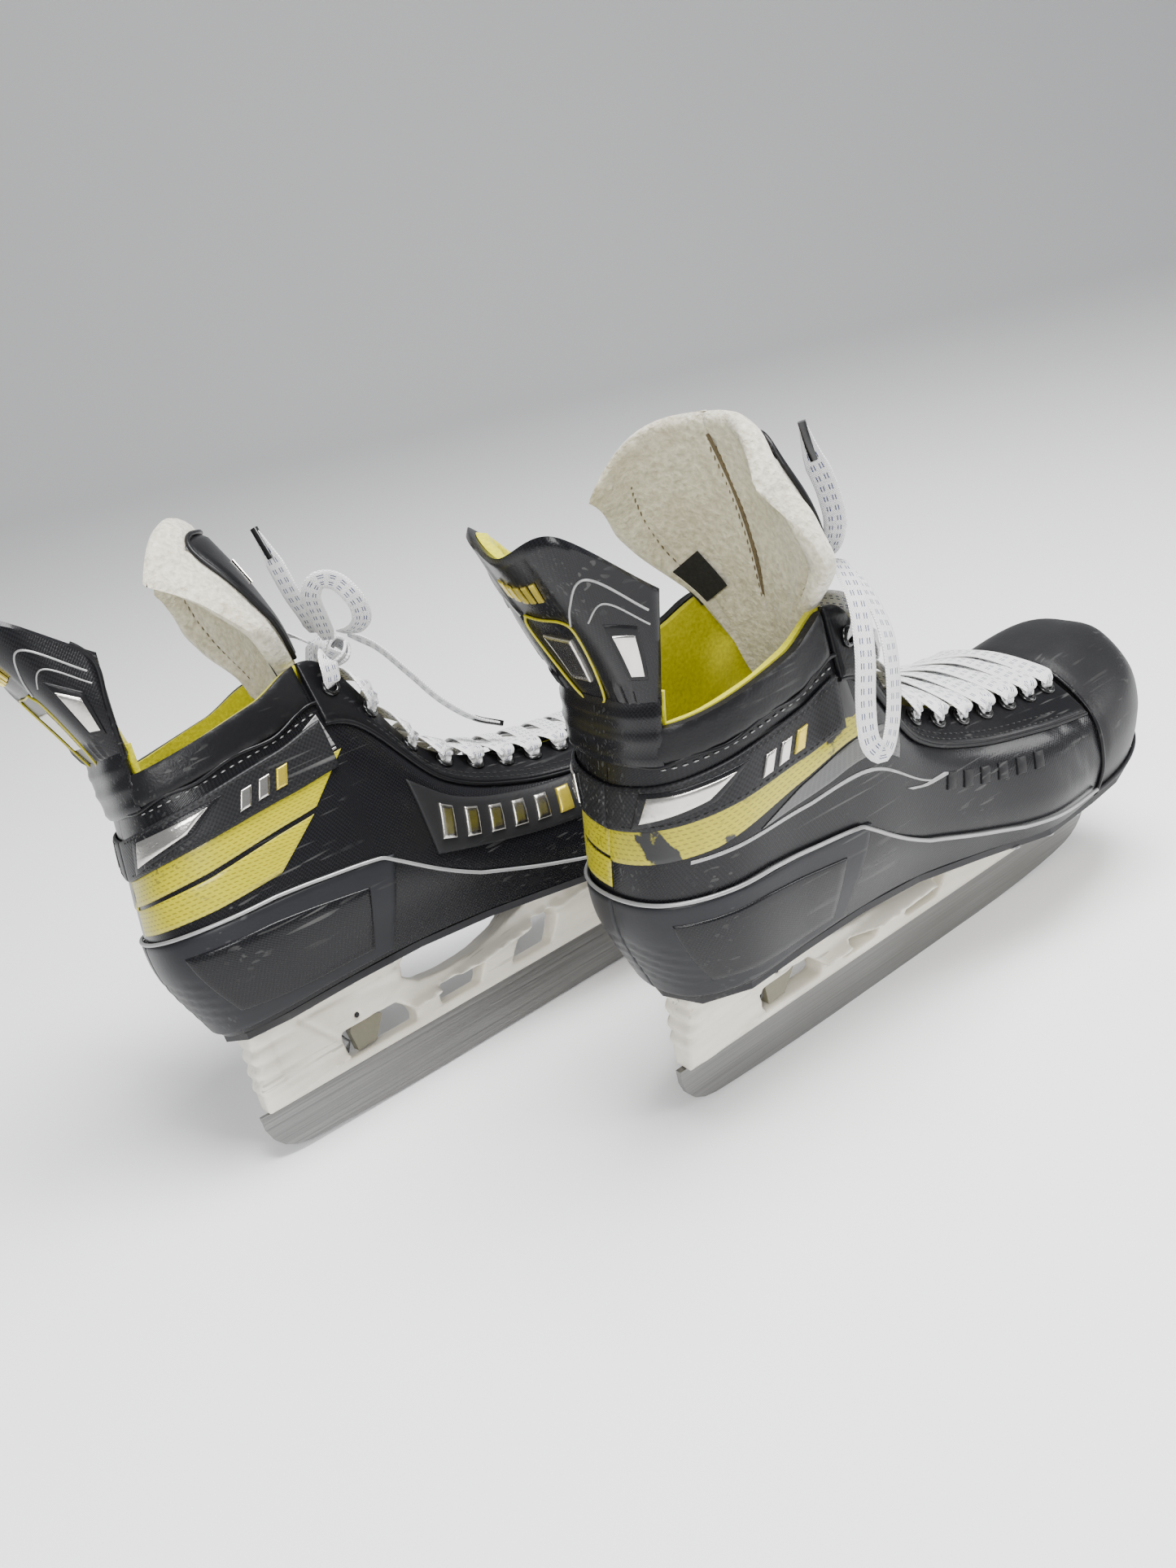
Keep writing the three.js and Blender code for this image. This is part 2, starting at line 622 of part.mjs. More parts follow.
function skate(name) {
  const skateGroup = new THREE.Group();
  const boot = new THREE.Group();
  boot.scale.y = name === "left" ? -1 : 1;
  skateGroup.add(boot);
  const add = (piece, geometry, material, group = boot) => {
    const mesh = new THREE.Mesh(geometry, MATERIALS[material]);
    mesh.name = `${name}_${piece}`;
    group.add(mesh);
  };
  add("runner", runner(), "steel");
  add("blade_holder", bladeHolder(), "holder");
  add("blade_trigger", trigger(), "trigger");
  add("trigger_pin", crossBar(PIN_RADIUS, 6.2, TRIGGER_PIVOT), "darkMetal");
  add("trigger_spring", triggerSpring(), "darkMetal");
  add("outsole", solePlate(0.5, -GAP - SOLE_THICKNESS, -GAP), "sole");
  add("footbed", solePlate(9, 1, 4), "footbed");
  add("quarter_lateral", bootPatch(quarter), "shell");
  add("quarter_medial", medialPatch(quarter), "shell");
  add("toe_cap", toeCap(), "toe");
  add("heel_counter", heelCounter(), "overlay");
  add("ankle_strap", ankleStrap(), "overlay");
  add("facing_lateral", bootPatch(facing), "facing");
  add("facing_medial", medialPatch(facing), "facing");
  add("eyelets_lateral", eyeletRow(-1), "darkMetal");
  add("eyelets_medial", eyeletRow(1), "darkMetal");
  add("liner", liner(), "lining");
  add("collar_pad_lateral", bootPatch(collarPad), "collar");
  add("collar_pad_medial", medialPatch(collarPad), "collar");
  add("tendon_guard", guardLayer(0, -2.6, 0, 1), "shell");
  add("tendon_lining", guardLayer(-3, -6.5, 0.04, 0.95), "lining");
  add("tongue_lower", tongueLower(), "felt");
  add("tongue_upper", tongueLayer(0, 8, 1, 0.03, 1), "felt");
  add("tongue_cover", tongueLayer(-2, -GAP, 0.75, 0.25, 0.9), "facing");
  add("lacing", lacing(), "lace");
  add("lace_knot", knot(), "lace");
  Object.entries(LOOSE_LACES[name]).forEach(([piece, route]) => add(piece, cord(route), "lace", skateGroup));
  return skateGroup;
}

const pair = new THREE.Group();
const leftSkate = skate("left");
const rightSkate = skate("right");
rightSkate.rotation.x = -RIGHT_LEAN;
rightSkate.position.set(RIGHT_SKATE_X, RIGHT_SKATE_Y, (RUNNER_THICKNESS / 2) * Math.sin(RIGHT_LEAN));
pair.add(leftSkate, rightSkate);

// The pair's origin is on the ice, under the middle of the space that it fills without its loose laces.
pair.updateMatrixWorld(true);
const space = new THREE.Box3();
pair.traverse((mesh) => {
  const isLoose = /lace_(loop|tail)/.test(mesh.name);
  if (mesh.isMesh && !isLoose) space.expandByObject(mesh, true);
});
pair.position.set(-(space.min.x + space.max.x) / 2, -(space.min.y + space.max.y) / 2, -space.min.z);

export default pair;
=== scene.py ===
import json
import math

import bmesh
import bpy
import numpy as np
from mathutils import Matrix, Vector


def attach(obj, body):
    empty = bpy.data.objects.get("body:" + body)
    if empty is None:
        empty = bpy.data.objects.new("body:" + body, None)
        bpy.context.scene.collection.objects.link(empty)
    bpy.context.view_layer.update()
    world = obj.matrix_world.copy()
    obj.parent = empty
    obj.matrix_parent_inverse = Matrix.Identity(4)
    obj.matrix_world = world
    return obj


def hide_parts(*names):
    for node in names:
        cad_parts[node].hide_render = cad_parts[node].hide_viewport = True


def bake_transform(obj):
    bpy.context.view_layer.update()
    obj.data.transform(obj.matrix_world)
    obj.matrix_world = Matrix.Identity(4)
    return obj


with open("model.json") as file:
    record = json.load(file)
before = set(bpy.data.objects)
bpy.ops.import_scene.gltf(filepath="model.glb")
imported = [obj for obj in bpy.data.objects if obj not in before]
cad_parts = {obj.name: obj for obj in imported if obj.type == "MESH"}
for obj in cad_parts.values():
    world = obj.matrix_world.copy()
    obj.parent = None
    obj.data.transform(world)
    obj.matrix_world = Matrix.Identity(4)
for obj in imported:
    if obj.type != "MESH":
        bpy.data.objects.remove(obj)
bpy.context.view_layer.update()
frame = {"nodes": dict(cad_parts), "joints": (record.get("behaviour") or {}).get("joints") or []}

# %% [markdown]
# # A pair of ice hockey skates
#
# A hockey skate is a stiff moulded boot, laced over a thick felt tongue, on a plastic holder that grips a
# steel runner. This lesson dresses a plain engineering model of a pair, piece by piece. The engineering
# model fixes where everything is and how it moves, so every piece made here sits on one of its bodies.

SIDES = ("left", "right")
FLANKS = ("lateral", "medial")
EYELETS = 10
LACE_WIDTH = 8.5
LACE_THICKNESS = 1.2
rng = np.random.default_rng(7)

# %% [markdown]
# ## Where each skate stands
#
# Each skate is drawn in millimetres in a place of its own: x forward from the heel, y towards the inner
# side of a right foot, z up from the ice. The left boot is the mirror image. The hinge of the tongue tells
# where a skate stands and how far it leans, so nothing has to be measured twice.

# %% From a skate's own millimetres to the shared frame
TONGUE_HINGE = (104, 187)  # x and z


def skate_place(side):
    """The turn and the shift that carry a skate's own millimetres to the shared frame, in metres."""
    joint = next(j for j in frame["joints"] if j["name"] == f"{side}_tongue_flex")
    axis = Vector(joint["axis"])
    lean = math.atan2(axis.z, -axis.y)
    turn = Matrix.Rotation(-lean, 3, "X")
    hinge = turn @ Vector((TONGUE_HINGE[0], 0, TONGUE_HINGE[1])) * 0.001
    return np.array(turn), np.array(Vector(joint["pos_m"]) - hinge)


PLACES = {side: skate_place(side) for side in SIDES}


def place(points, side, mirror=True):
    """Points in a skate's own millimetres, in the shared frame."""
    turn, shift = PLACES[side]
    local = np.array(points, float).reshape(-1, 3)
    if mirror and side == "left":
        local[:, 1] *= -1
    return local @ turn.T * 0.001 + shift


def unplace(points, side):
    """The other way round: shared frame to a skate's own millimetres."""
    turn, shift = PLACES[side]
    local = (np.array(points, float) - shift) * 1000 @ turn
    if side == "left":
        local[:, 1] *= -1
    return local


print({side: PLACES[side][1].round(4).tolist() for side in SIDES})

# %% [markdown]
# ## Camera
#
# The camera looks down on the pair from behind and to the side, held a little turned, as a phone is.

# %% Camera
CAMERA_TARGET = Vector((-0.0033, 0.021, 0.1))
CAMERA_DISTANCE = 0.612
CAMERA_AZIMUTH, CAMERA_ELEVATION, CAMERA_ROLL = (math.radians(a) for a in (-32.35, 23.63, -12.69))


def make_camera():
    back = Vector((
        math.sin(CAMERA_AZIMUTH) * math.cos(CAMERA_ELEVATION),
        -math.cos(CAMERA_AZIMUTH) * math.cos(CAMERA_ELEVATION),
        math.sin(CAMERA_ELEVATION),
    ))
    right = Vector((math.cos(CAMERA_AZIMUTH), math.sin(CAMERA_AZIMUTH), 0))
    up = back.cross(right)
    roll = Matrix.Rotation(CAMERA_ROLL, 3, back)
    right, up = roll @ right, roll @ up
    camera = bpy.data.objects.new("camera", bpy.data.cameras.new("camera"))
    bpy.context.scene.collection.objects.link(camera)
    camera.matrix_world = Matrix((right, up, back)).transposed().to_4x4()
    camera.location = CAMERA_TARGET + back * CAMERA_DISTANCE
    camera.data.lens = 29.7
    camera.data.clip_start = 0.01
    bpy.context.scene.camera = camera


make_camera()

# %% [markdown]
# ## Meshes from grids of points
#
# Almost every piece of a boot is a sheet of something laid over the foot: cut, pressed and sewn. A grid of
# points is the natural way to make one. Two grids joined along their edges give a closed wall, and the UV
# map holds real distances along the sheet, so that weaves and stitches keep their size everywhere.

# %% Mesh helpers
UV_SCALE = 0.01  # one unit of the UV map is 100 mm


def mesh_object(name, points, faces, material, uv=None, smooth=True):
    mesh = bpy.data.meshes.new(name)
    mesh.from_pydata(np.array(points).tolist(), [], faces)
    if uv is not None:
        corners = np.zeros(len(mesh.loops), int)
        mesh.loops.foreach_get("vertex_index", corners)
        mesh.uv_layers.new(name="UVMap").data.foreach_set("uv", np.array(uv, float)[corners].ravel())
    work = bmesh.new()
    work.from_mesh(mesh)
    bmesh.ops.remove_doubles(work, verts=work.verts, dist=2e-6)
    bmesh.ops.recalc_face_normals(work, faces=work.faces)
    work.to_mesh(mesh)
    work.free()
    mesh.polygons.foreach_set("use_smooth", [smooth] * len(mesh.polygons))
    if smooth:
        mesh.set_sharp_from_angle(angle=math.radians(50))
    mesh.materials.append(material)
    found = bpy.data.objects.new(name, mesh)
    bpy.context.scene.collection.objects.link(found)
    return found


def running_length(grid, axis):
    steps = np.linalg.norm(np.diff(grid, axis=axis), axis=-1)
    first = np.zeros_like(np.take(steps, [0], axis=axis))
    return np.concatenate([first, np.cumsum(steps, axis=axis)], axis=axis)


def grid_faces(rows, columns, start=0, flip=False):
    at = lambda r, c: start + r * columns + c
    quads = [(at(r, c), at(r + 1, c), at(r + 1, c + 1), at(r, c + 1))
             for r in range(rows - 1) for c in range(columns - 1)]
    return [quad[::-1] for quad in quads] if flip else quads


def wall_faces(rows, columns):
    """Faces of the closed wall between two grids of the same rows and columns."""
    size = rows * columns
    faces = grid_faces(rows, columns) + grid_faces(rows, columns, size, flip=True)
    rim = [r * columns for r in range(rows)]
    rim += [(rows - 1) * columns + c for c in range(1, columns)]
    rim += [r * columns + columns - 1 for r in range(rows - 2, -1, -1)]
    rim += list(range(columns - 2, 0, -1))
    for a, b in zip(rim, rim[1:] + rim[:1]):
        faces.append((a, b, b + size, a + size))
    return faces


def wall(name, side, outer, inner, material, mirror=True):
    """A closed wall between two grids (rows, columns, 3) in a skate's own millimetres."""
    rows, columns, _ = outer.shape
    uv = np.stack([running_length(outer, 0), running_length(outer, 1)], -1).reshape(-1, 2) * UV_SCALE
    points = place(np.concatenate([outer.reshape(-1, 3), inner.reshape(-1, 3)]), side, mirror)
    return mesh_object(name, points, wall_faces(rows, columns), material, np.concatenate([uv, uv]))


def finish_piece(piece, body, slot, *nodes):
    """The piece moves with a body and stands for CAD nodes, which are hidden. Its slot is not used."""
    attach(piece, body)
    if nodes:
        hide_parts(*nodes)
    return piece


def merged(pieces, name):
    """Several objects as one, keeping their materials."""
    with bpy.context.temp_override(active_object=pieces[0], selected_editable_objects=pieces):
        bpy.ops.object.join()
    pieces[0].name = name
    return pieces[0]


def spline(points, t):
    """Catmull-Rom curves through points (n, k, 3), read at t (k, m) from 0 to 1."""
    ends = [[2 * points[0] - points[1]], points, [2 * points[-1] - points[-2]]]
    padded = np.concatenate(ends)
    spans = len(points) - 1
    reach = np.clip(t * spans, 0, spans - 1e-9)
    first = reach.astype(int)
    w = (reach - first)[..., None]
    curve = np.arange(points.shape[1])[:, None]
    p0, p1, p2, p3 = (padded[first + j, curve] for j in range(4))
    out, into = (p2 - p0) / 2, (p3 - p1) / 2
    return p1 + out * w + (3 * (p2 - p1) - 2 * out - into) * w ** 2 + (2 * (p1 - p2) + out + into) * w ** 3


def line_at(points, t):
    """One smooth line through points (n, 3), read at t (m)."""
    return spline(np.array(points, float)[:, None], np.array(t, float)[None])[0]


def smoothstep(x, low, high):
    t = np.clip((x - low) / (high - low), 0, 1)
    return t * t * (3 - 2 * t)


def mix(a, b, t):
    return a + (b - a) * t


# %% [markdown]
# ## The boot's surface
#
# The outer surface of the boot is a loft through seventeen ribs, from the throat round the heel to the
# throat again. Everything on the boot is drawn in two numbers: the rib, which is 0 at the outer end of the
# throat, 8 at the heel and 16 at the inner end, and the height, which is 0 at the sole and 1 at the collar.

# %% Ribs and the surface through them
RIBS = np.array([
    [[238, 45, 57], [238, 50, 76], [237, 45, 98], [236, 23, 115]],
    [[205, 46, 56], [205, 51, 77], [204, 45, 101], [204, 23, 118]],
    [[168, 40, 60], [169, 46, 82], [169, 42, 106], [168, 24, 125]],
    [[132, 35, 64], [134, 43, 90], [135, 42, 119], [132, 27, 144]],
    [[98, 32, 66], [100, 41, 98], [105, 41, 147], [103, 33, 194]],
    [[64, 31, 66], [64, 38, 100], [68, 40, 148], [70, 39, 188]],
    [[34, 30, 65], [28, 35, 100], [34, 38, 146], [38, 37, 182]],
    [[17, 19, 63], [6, 22, 100], [12, 25, 144], [17, 27, 179]],
    [[12, 0, 62], [0, 0, 100], [6, 0, 142], [13, 0, 178]],
], float)
MEDIAL_WIDTH = np.array([0.96, 0.95, 0.91, 0.88, 0.93, 0.97, 1, 1, 1])
HEEL = 8
LATERAL_RIBS = RIBS * [1, -1, 1]
MEDIAL_RIBS = (RIBS * np.stack([np.ones(9), MEDIAL_WIDTH, np.ones(9)], -1)[:, None])[:HEEL][::-1]
RAILS = np.concatenate([LATERAL_RIBS, MEDIAL_RIBS])


def boot_at(rib, height):
    """Points of the surface for arrays of rib and height of the same shape."""
    rib, height = np.broadcast_arrays(np.asarray(rib, float), np.asarray(height, float))
    t = np.tile(rib.ravel() / (2 * HEEL), (4, 1))
    columns = spline(RAILS, t)
    return spline(columns, height.reshape(-1, 1))[:, 0].reshape(*rib.shape, 3)


def boot_normal(rib, height):
    step = 0.02
    along = boot_at(np.minimum(rib + step, 16), height) - boot_at(np.maximum(rib - step, 0), height)
    rise = boot_at(rib, np.minimum(height + step, 1)) - boot_at(rib, np.maximum(height - step, 0))
    normal = np.cross(rise, along)
    return normal / np.linalg.norm(normal, axis=-1, keepdims=True)


def on_boot(rib, height, offset):
    offset = np.asarray(offset, float)
    return boot_at(rib, height) + boot_normal(rib, height) * offset[..., None]


def flank_rib(rib, flank):
    return rib if flank == "lateral" else 16 - rib


def edge_samples(length, edge, step):
    """Shares from 0 to 1, close together near both ends so that an edge can be rounded."""
    near = np.array([0, 0.12, 0.4, 1]) * min(edge / length, 0.3)
    middle = np.linspace(near[-1], 1 - near[-1], max(int(length / step), 2) + 1)[1:-1]
    return np.concatenate([near, middle, 1 - near[::-1]])


def rounded(share, length, edge):
    """How full a padded sheet is, from 0 on its border to 1 farther in than edge."""
    gone = np.clip(np.minimum(share, 1 - share) * length / edge, 0, 1)
    return np.sqrt(np.clip(1 - (1 - gone) ** 2, 0, 1))


def patch(name, side, flank, low, high, base, top, material, edge=0.8, step=3.0, shape=None):
    """A sheet on the boot between two lines of (rib, height) points, from base to top mm off it.
    shape, where given, changes the offsets: shape(rib, height, full) in mm."""
    low, high = np.array(low, float), np.array(high, float)
    trial = np.linspace(0, 1, 9)
    both = []
    for line in (low, high):
        at = np.linspace(0, 1, len(line))
        both.append(lambda t, line=line, at=at: np.stack(
            [np.interp(t, at, line[:, 0]), np.interp(t, at, line[:, 1])], -1))
    ends = [boot_at(*f(trial).T) for f in both]
    length = np.linalg.norm(np.diff((ends[0] + ends[1]) / 2, axis=0), axis=1).sum()
    width = np.linalg.norm(ends[0] - ends[1], axis=1).mean() + 0.01
    u, v = edge_samples(length, edge, step), edge_samples(width, edge, step)
    lower, upper = both[0](u)[:, None], both[1](u)[:, None]
    spot = mix(lower, upper, v[None, :, None])
    rib, height = flank_rib(spot[..., 0], flank), spot[..., 1]
    full = np.minimum(rounded(u, length, edge)[:, None], rounded(v, width, edge)[None])
    offset = mix(base, top, full)
    if shape is not None:
        offset = offset + shape(spot[..., 0], height, full)
    outer = on_boot(rib, height, offset)
    inner = on_boot(rib, height, np.full_like(offset, base - 0.15))
    return wall(name, side, outer, inner, material)


print("heel point", boot_at(8.0, 0.5).round(1).tolist())

# %% [markdown]
# ## Materials
#
# Old sports gear is never one flat colour. Three effects are shared by most finishes here, each as a node
# group that only gives out numbers: wear (scratches and dust), a diagonal weave, and rows of short dashes.

# %% Node helpers and shared effects
def add(tree, kind, values=None, **settings):
    node = tree.nodes.new(kind)
    for key, value in settings.items():
        setattr(node, key, value)
    for socket, value in (values or {}).items():
        if isinstance(value, bpy.types.NodeSocket):
            tree.links.new(value, node.inputs[socket])
        else:
            node.inputs[socket].default_value = value
    return node


def maths(tree, operation, a, b=0.0):
    return add(tree, "ShaderNodeMath", {0: a, 1: b}, operation=operation).outputs[0]


def stretch(tree, value, low, high):
    return add(tree, "ShaderNodeMapRange", {0: value, 1: low, 2: high}).outputs[0]


def noise(tree, vector, scale, detail=4.0):
    node = add(tree, "ShaderNodeTexNoise", {"Scale": scale, "Detail": detail})
    tree.links.new(vector, node.inputs["Vector"])
    return node.outputs[0]


def blend_colour(tree, share, a, b):
    node = add(tree, "ShaderNodeMix", data_type="RGBA")
    for socket, value in ((node.inputs[0], share), (node.inputs[6], a), (node.inputs[7], b)):
        if isinstance(value, bpy.types.NodeSocket):
            tree.links.new(value, socket)
        else:
            socket.default_value = value
    return node.outputs[2]


def new_group(name, inputs, outputs):
    tree = bpy.data.node_groups.new(name, "ShaderNodeTree")
    for socket, kind, value in inputs:
        made = tree.interface.new_socket(socket, in_out="INPUT", socket_type=kind)
        if value is not None:
            made.default_value = value
    for socket in outputs:
        tree.interface.new_socket(socket, in_out="OUTPUT", socket_type="NodeSocketFloat")
    return tree, tree.nodes.new("NodeGroupInput"), tree.nodes.new("NodeGroupOutput")


def make_wear():
    """Scratches: thin lines of a stretched noise. Dust: broad soft patches. Grain: fine noise for bumps."""
    tree, given, out = new_group(
        "wear", [("Amount", "NodeSocketFloat", 0.5)], ["Scratches", "Dust", "Grain"]
    )
    place_node = add(tree, "ShaderNodeTexCoord")
    spot = place_node.outputs["Object"]
    marks = []
    for turn in (0.5, 2.1):
        turned = add(
            tree, "ShaderNodeMapping",
            {"Vector": spot, "Rotation": (turn, turn / 2, turn), "Scale": (12, 700, 500)}
        )
        field = noise(tree, turned.outputs[0], 1.0, 0.0)
        thin = stretch(tree, field, 0.72, 0.76)
        marks.append(thin)
    where = stretch(tree, noise(tree, spot, 24.0), 0.48, 0.7)
    both = maths(tree, "MAXIMUM", *marks)
    tree.links.new(
        maths(tree, "MULTIPLY", maths(tree, "MULTIPLY", both, where), given.outputs[0]), out.inputs[0]
    )
    dust = stretch(tree, noise(tree, spot, 16.0, 8.0), 0.45, 0.75)
    tree.links.new(maths(tree, "MULTIPLY", dust, given.outputs[0]), out.inputs[1])
    tree.links.new(noise(tree, spot, 900.0, 3.0), out.inputs[2])
    return tree


def make_weave():
    """A diagonal twill, from the UV map: Height is its relief and Thread which way the thread runs."""
    tree, given, out = new_group("weave", [("Threads", "NodeSocketFloat", 90.0)], ["Height", "Thread"])
    uv = add(tree, "ShaderNodeUVMap").outputs[0]
    split = add(tree, "ShaderNodeSeparateXYZ", {0: uv})
    u, v = (maths(tree, "MULTIPLY", split.outputs[k], given.outputs[0]) for k in (0, 1))
    wave = lambda x: maths(tree, "ABSOLUTE", maths(tree, "SINE", maths(tree, "MULTIPLY", x, math.pi)))
    one, two = wave(maths(tree, "ADD", u, v)), wave(maths(tree, "SUBTRACT", u, v))
    tree.links.new(maths(tree, "MAXIMUM", one, maths(tree, "MULTIPLY", two, 0.7)), out.inputs[0])
    tree.links.new(maths(tree, "GREATER_THAN", one, two), out.inputs[1])
    return tree


def make_dashes():
    """Rows of short dashes along u: Mask is 1 on a dash. Every other row is shifted by half a dash."""
    tree, given, out = new_group("dashes", [
        ("Along", "NodeSocketFloat", 20.0), ("Rows", "NodeSocketFloat", 40.0),
        ("Slant", "NodeSocketFloat", 0.0), ("Share", "NodeSocketFloat", 0.6),
        ("Thickness", "NodeSocketFloat", 0.5),
    ], ["Mask"])
    uv = add(tree, "ShaderNodeUVMap").outputs[0]
    split = add(tree, "ShaderNodeSeparateXYZ", {0: uv})
    row = maths(tree, "MULTIPLY", split.outputs[1], given.outputs["Rows"])
    shift = maths(tree, "MULTIPLY", maths(tree, "FLOOR", row), 0.5)
    slant = maths(tree, "MULTIPLY", maths(tree, "FRACT", row), given.outputs["Slant"])
    along = maths(tree, "MULTIPLY", split.outputs[0], given.outputs["Along"])
    phase = maths(tree, "FRACT", maths(tree, "ADD", maths(tree, "ADD", along, shift), slant))
    dash = maths(tree, "LESS_THAN", phase, given.outputs["Share"])
    line = maths(tree, "LESS_THAN", maths(tree, "FRACT", row), given.outputs["Thickness"])
    tree.links.new(maths(tree, "MULTIPLY", dash, line), out.inputs[0])
    return tree


GROUPS = {"wear": make_wear(), "weave": make_weave(), "dashes": make_dashes()}


def effect(tree, name, **values):
    node = tree.nodes.new("ShaderNodeGroup")
    node.node_tree = GROUPS[name]
    for key, value in values.items():
        node.inputs[key].default_value = value
    return node.outputs


def new_material(name, roughness=0.5, metallic=0.0):
    material = bpy.data.materials.new(name)
    material.use_nodes = True
    tree = material.node_tree
    shader = tree.nodes["Principled BSDF"]
    shader.inputs["Roughness"].default_value = roughness
    shader.inputs["Metallic"].default_value = metallic
    return material, tree, shader


def set_bump(tree, shader, height, distance, strength=1.0):
    bump = add(tree, "ShaderNodeBump", {"Height": height, "Distance": distance, "Strength": strength})
    tree.links.new(bump.outputs[0], shader.inputs["Normal"])


DARK = 0.05  # below this the colour is a black, which needs a weaker shine to stay deep


def worn(name, colour, roughness, metallic=0.0, wear=0.5, scratch=(0.14, 0.14, 0.135, 1),
    dust=(0.2, 0.19, 0.18, 1),
         dusty=0.25, grain=0.00005, threads=0.0, relief=0.0, coat=0.0):
    """A hard finish with scratches, dust and fine grain. With threads, a weave shows below its gloss."""
    material, tree, shader = new_material(name, roughness, metallic)
    marks = effect(tree, "wear", Amount=wear)
    tint = add(tree, "ShaderNodeTexNoise", {"Scale": 9.0}).outputs[0]
    base = blend_colour(
        tree, tint, tuple(0.85 * c for c in colour[:3]) + (1,),
        tuple(min(1.12 * c, 1) for c in colour[:3]) + (1,)
    )
    if threads:
        weave = effect(tree, "weave", Threads=threads)
        base = blend_colour(
            tree, maths(tree, "MULTIPLY", weave[1], 0.5), base,
            tuple(min(2.2 * c + 0.004, 1) for c in colour[:3]) + (1,)
        )
    dusted = blend_colour(tree, maths(tree, "MULTIPLY", marks[1], dusty), base, dust)
    tree.links.new(blend_colour(tree, marks[0], dusted, scratch), shader.inputs["Base Color"])
    rough = maths(tree, "ADD", roughness, maths(tree, "MULTIPLY", marks[1], 0.25))
    tree.links.new(
        maths(tree, "ADD", rough, maths(tree, "MULTIPLY", marks[0], 0.3)), shader.inputs["Roughness"]
    )
    height = maths(
        tree, "SUBTRACT", maths(tree, "MULTIPLY", marks[2], grain * 1e4),
        maths(tree, "MULTIPLY", marks[0], 0.6)
    )
    if threads:
        height = maths(tree, "ADD", height, maths(tree, "MULTIPLY", weave[0], relief * 1e4))
    set_bump(tree, shader, height, 0.0001)
    shader.inputs["Specular IOR Level"].default_value = 0.22 if max(colour) < DARK and not metallic else 0.5
    shader.inputs["Coat Weight"].default_value = coat
    shader.inputs["Coat Roughness"].default_value = 0.12
    return material


# %% [markdown]
# ## The finishes
#
# The shell is a glossy composite with a weave that shows through its skin. The holder is warm white
# plastic, and the steel is brushed along its length. The soft parts are felt, lining cloth and leatherette.

# %% Finishes
def make_cloth(name, colour, dark, roughness=0.95, sheen=0.5, fuzz=0.0004, scale=700.0, stain=None):
    """Felt or brushed cloth: fine fibres, soft lumps, darker stains and a sheen at grazing angles."""
    material, tree, shader = new_material(name, roughness)
    spot = add(tree, "ShaderNodeTexCoord").outputs["Object"]
    fibre, lump = noise(tree, spot, scale, 6.0), noise(tree, spot, 60.0, 4.0)
    dirt = stretch(tree, noise(tree, spot, 22.0, 8.0), 0.48, 0.72)
    base = blend_colour(tree, stretch(tree, fibre, 0.3, 0.7), dark, colour)
    base = blend_colour(tree, maths(tree, "MULTIPLY", dirt, 0.5), base, stain or dark)
    tree.links.new(base, shader.inputs["Base Color"])
    set_bump(tree, shader, maths(tree, "ADD", fibre, maths(tree, "MULTIPLY", lump, 1.5)), fuzz)
    shader.inputs["Sheen Weight"].default_value = sheen
    shader.inputs["Sheen Roughness"].default_value = 0.5
    shader.inputs["Specular IOR Level"].default_value = 0.15
    return material


def make_stripe(name, colour, ink, bare=0.0):
    """Glossy film printed with rows of slanted dashes."""
    material = worn(
        name, colour, 0.32, wear=0.8, scratch=(0.01, 0.01, 0.01, 1), dust=(0.1, 0.09, 0.0, 1), coat=0.15
    )
    tree = material.node_tree
    shader = tree.nodes["Principled BSDF"]
    printed = effect(tree, "dashes", Along=34.0, Rows=52.0, Slant=0.8, Share=0.62, Thickness=0.3)[0]
    below = shader.inputs["Base Color"].links[0].from_socket
    film = blend_colour(tree, maths(tree, "MULTIPLY", printed, 0.75), below, ink)
    if bare:
        spot = add(tree, "ShaderNodeTexCoord").outputs["Object"]
        gone = stretch(tree, noise(tree, spot, 42.0, 9.0), 0.64 - 0.1 * bare, 0.66 - 0.1 * bare)
        film = blend_colour(tree, gone, film, (0.004, 0.004, 0.004, 1))
    tree.links.new(film, shader.inputs["Base Color"])
    return material


def make_lace():
    """White cotton tape: ribs across it and four rows of navy dashes along it, two near each edge."""
    material, tree, shader = new_material("lace", 0.85)
    uv = add(tree, "ShaderNodeUVMap").outputs[0]
    split = add(tree, "ShaderNodeSeparateXYZ", {0: uv})
    along, across = split.outputs[0], split.outputs[1]
    dash = maths(tree, "LESS_THAN", maths(tree, "FRACT", maths(tree, "MULTIPLY", along, 22.0)), 0.5)
    rows = None
    for middle in (0.26, 0.38, 0.62, 0.74):
        near = maths(
            tree, "LESS_THAN", maths(tree, "ABSOLUTE", maths(tree, "SUBTRACT", across, middle)), 0.026
        )
        rows = near if rows is None else maths(tree, "MAXIMUM", rows, near)
    spot = add(tree, "ShaderNodeTexCoord").outputs["Object"]
    cotton = blend_colour(tree, noise(tree, spot, 120.0), (0.8, 0.8, 0.8, 1), (0.95, 0.95, 0.94, 1))
    navy = blend_colour(tree, noise(tree, spot, 500.0), (0.02, 0.03, 0.1, 1), (0.08, 0.1, 0.22, 1))
    tree.links.new(
        blend_colour(tree, maths(tree, "MULTIPLY", rows, dash), cotton, navy), shader.inputs["Base Color"]
    )
    ribs = maths(tree, "SINE", maths(tree, "MULTIPLY", along, 2 * math.pi * 90))
    knit = maths(tree, "SINE", maths(tree, "MULTIPLY", across, 2 * math.pi * 11))
    set_bump(tree, shader, maths(tree, "MULTIPLY", ribs, knit), 0.00025)
    shader.inputs["Sheen Weight"].default_value = 0.3
    return material


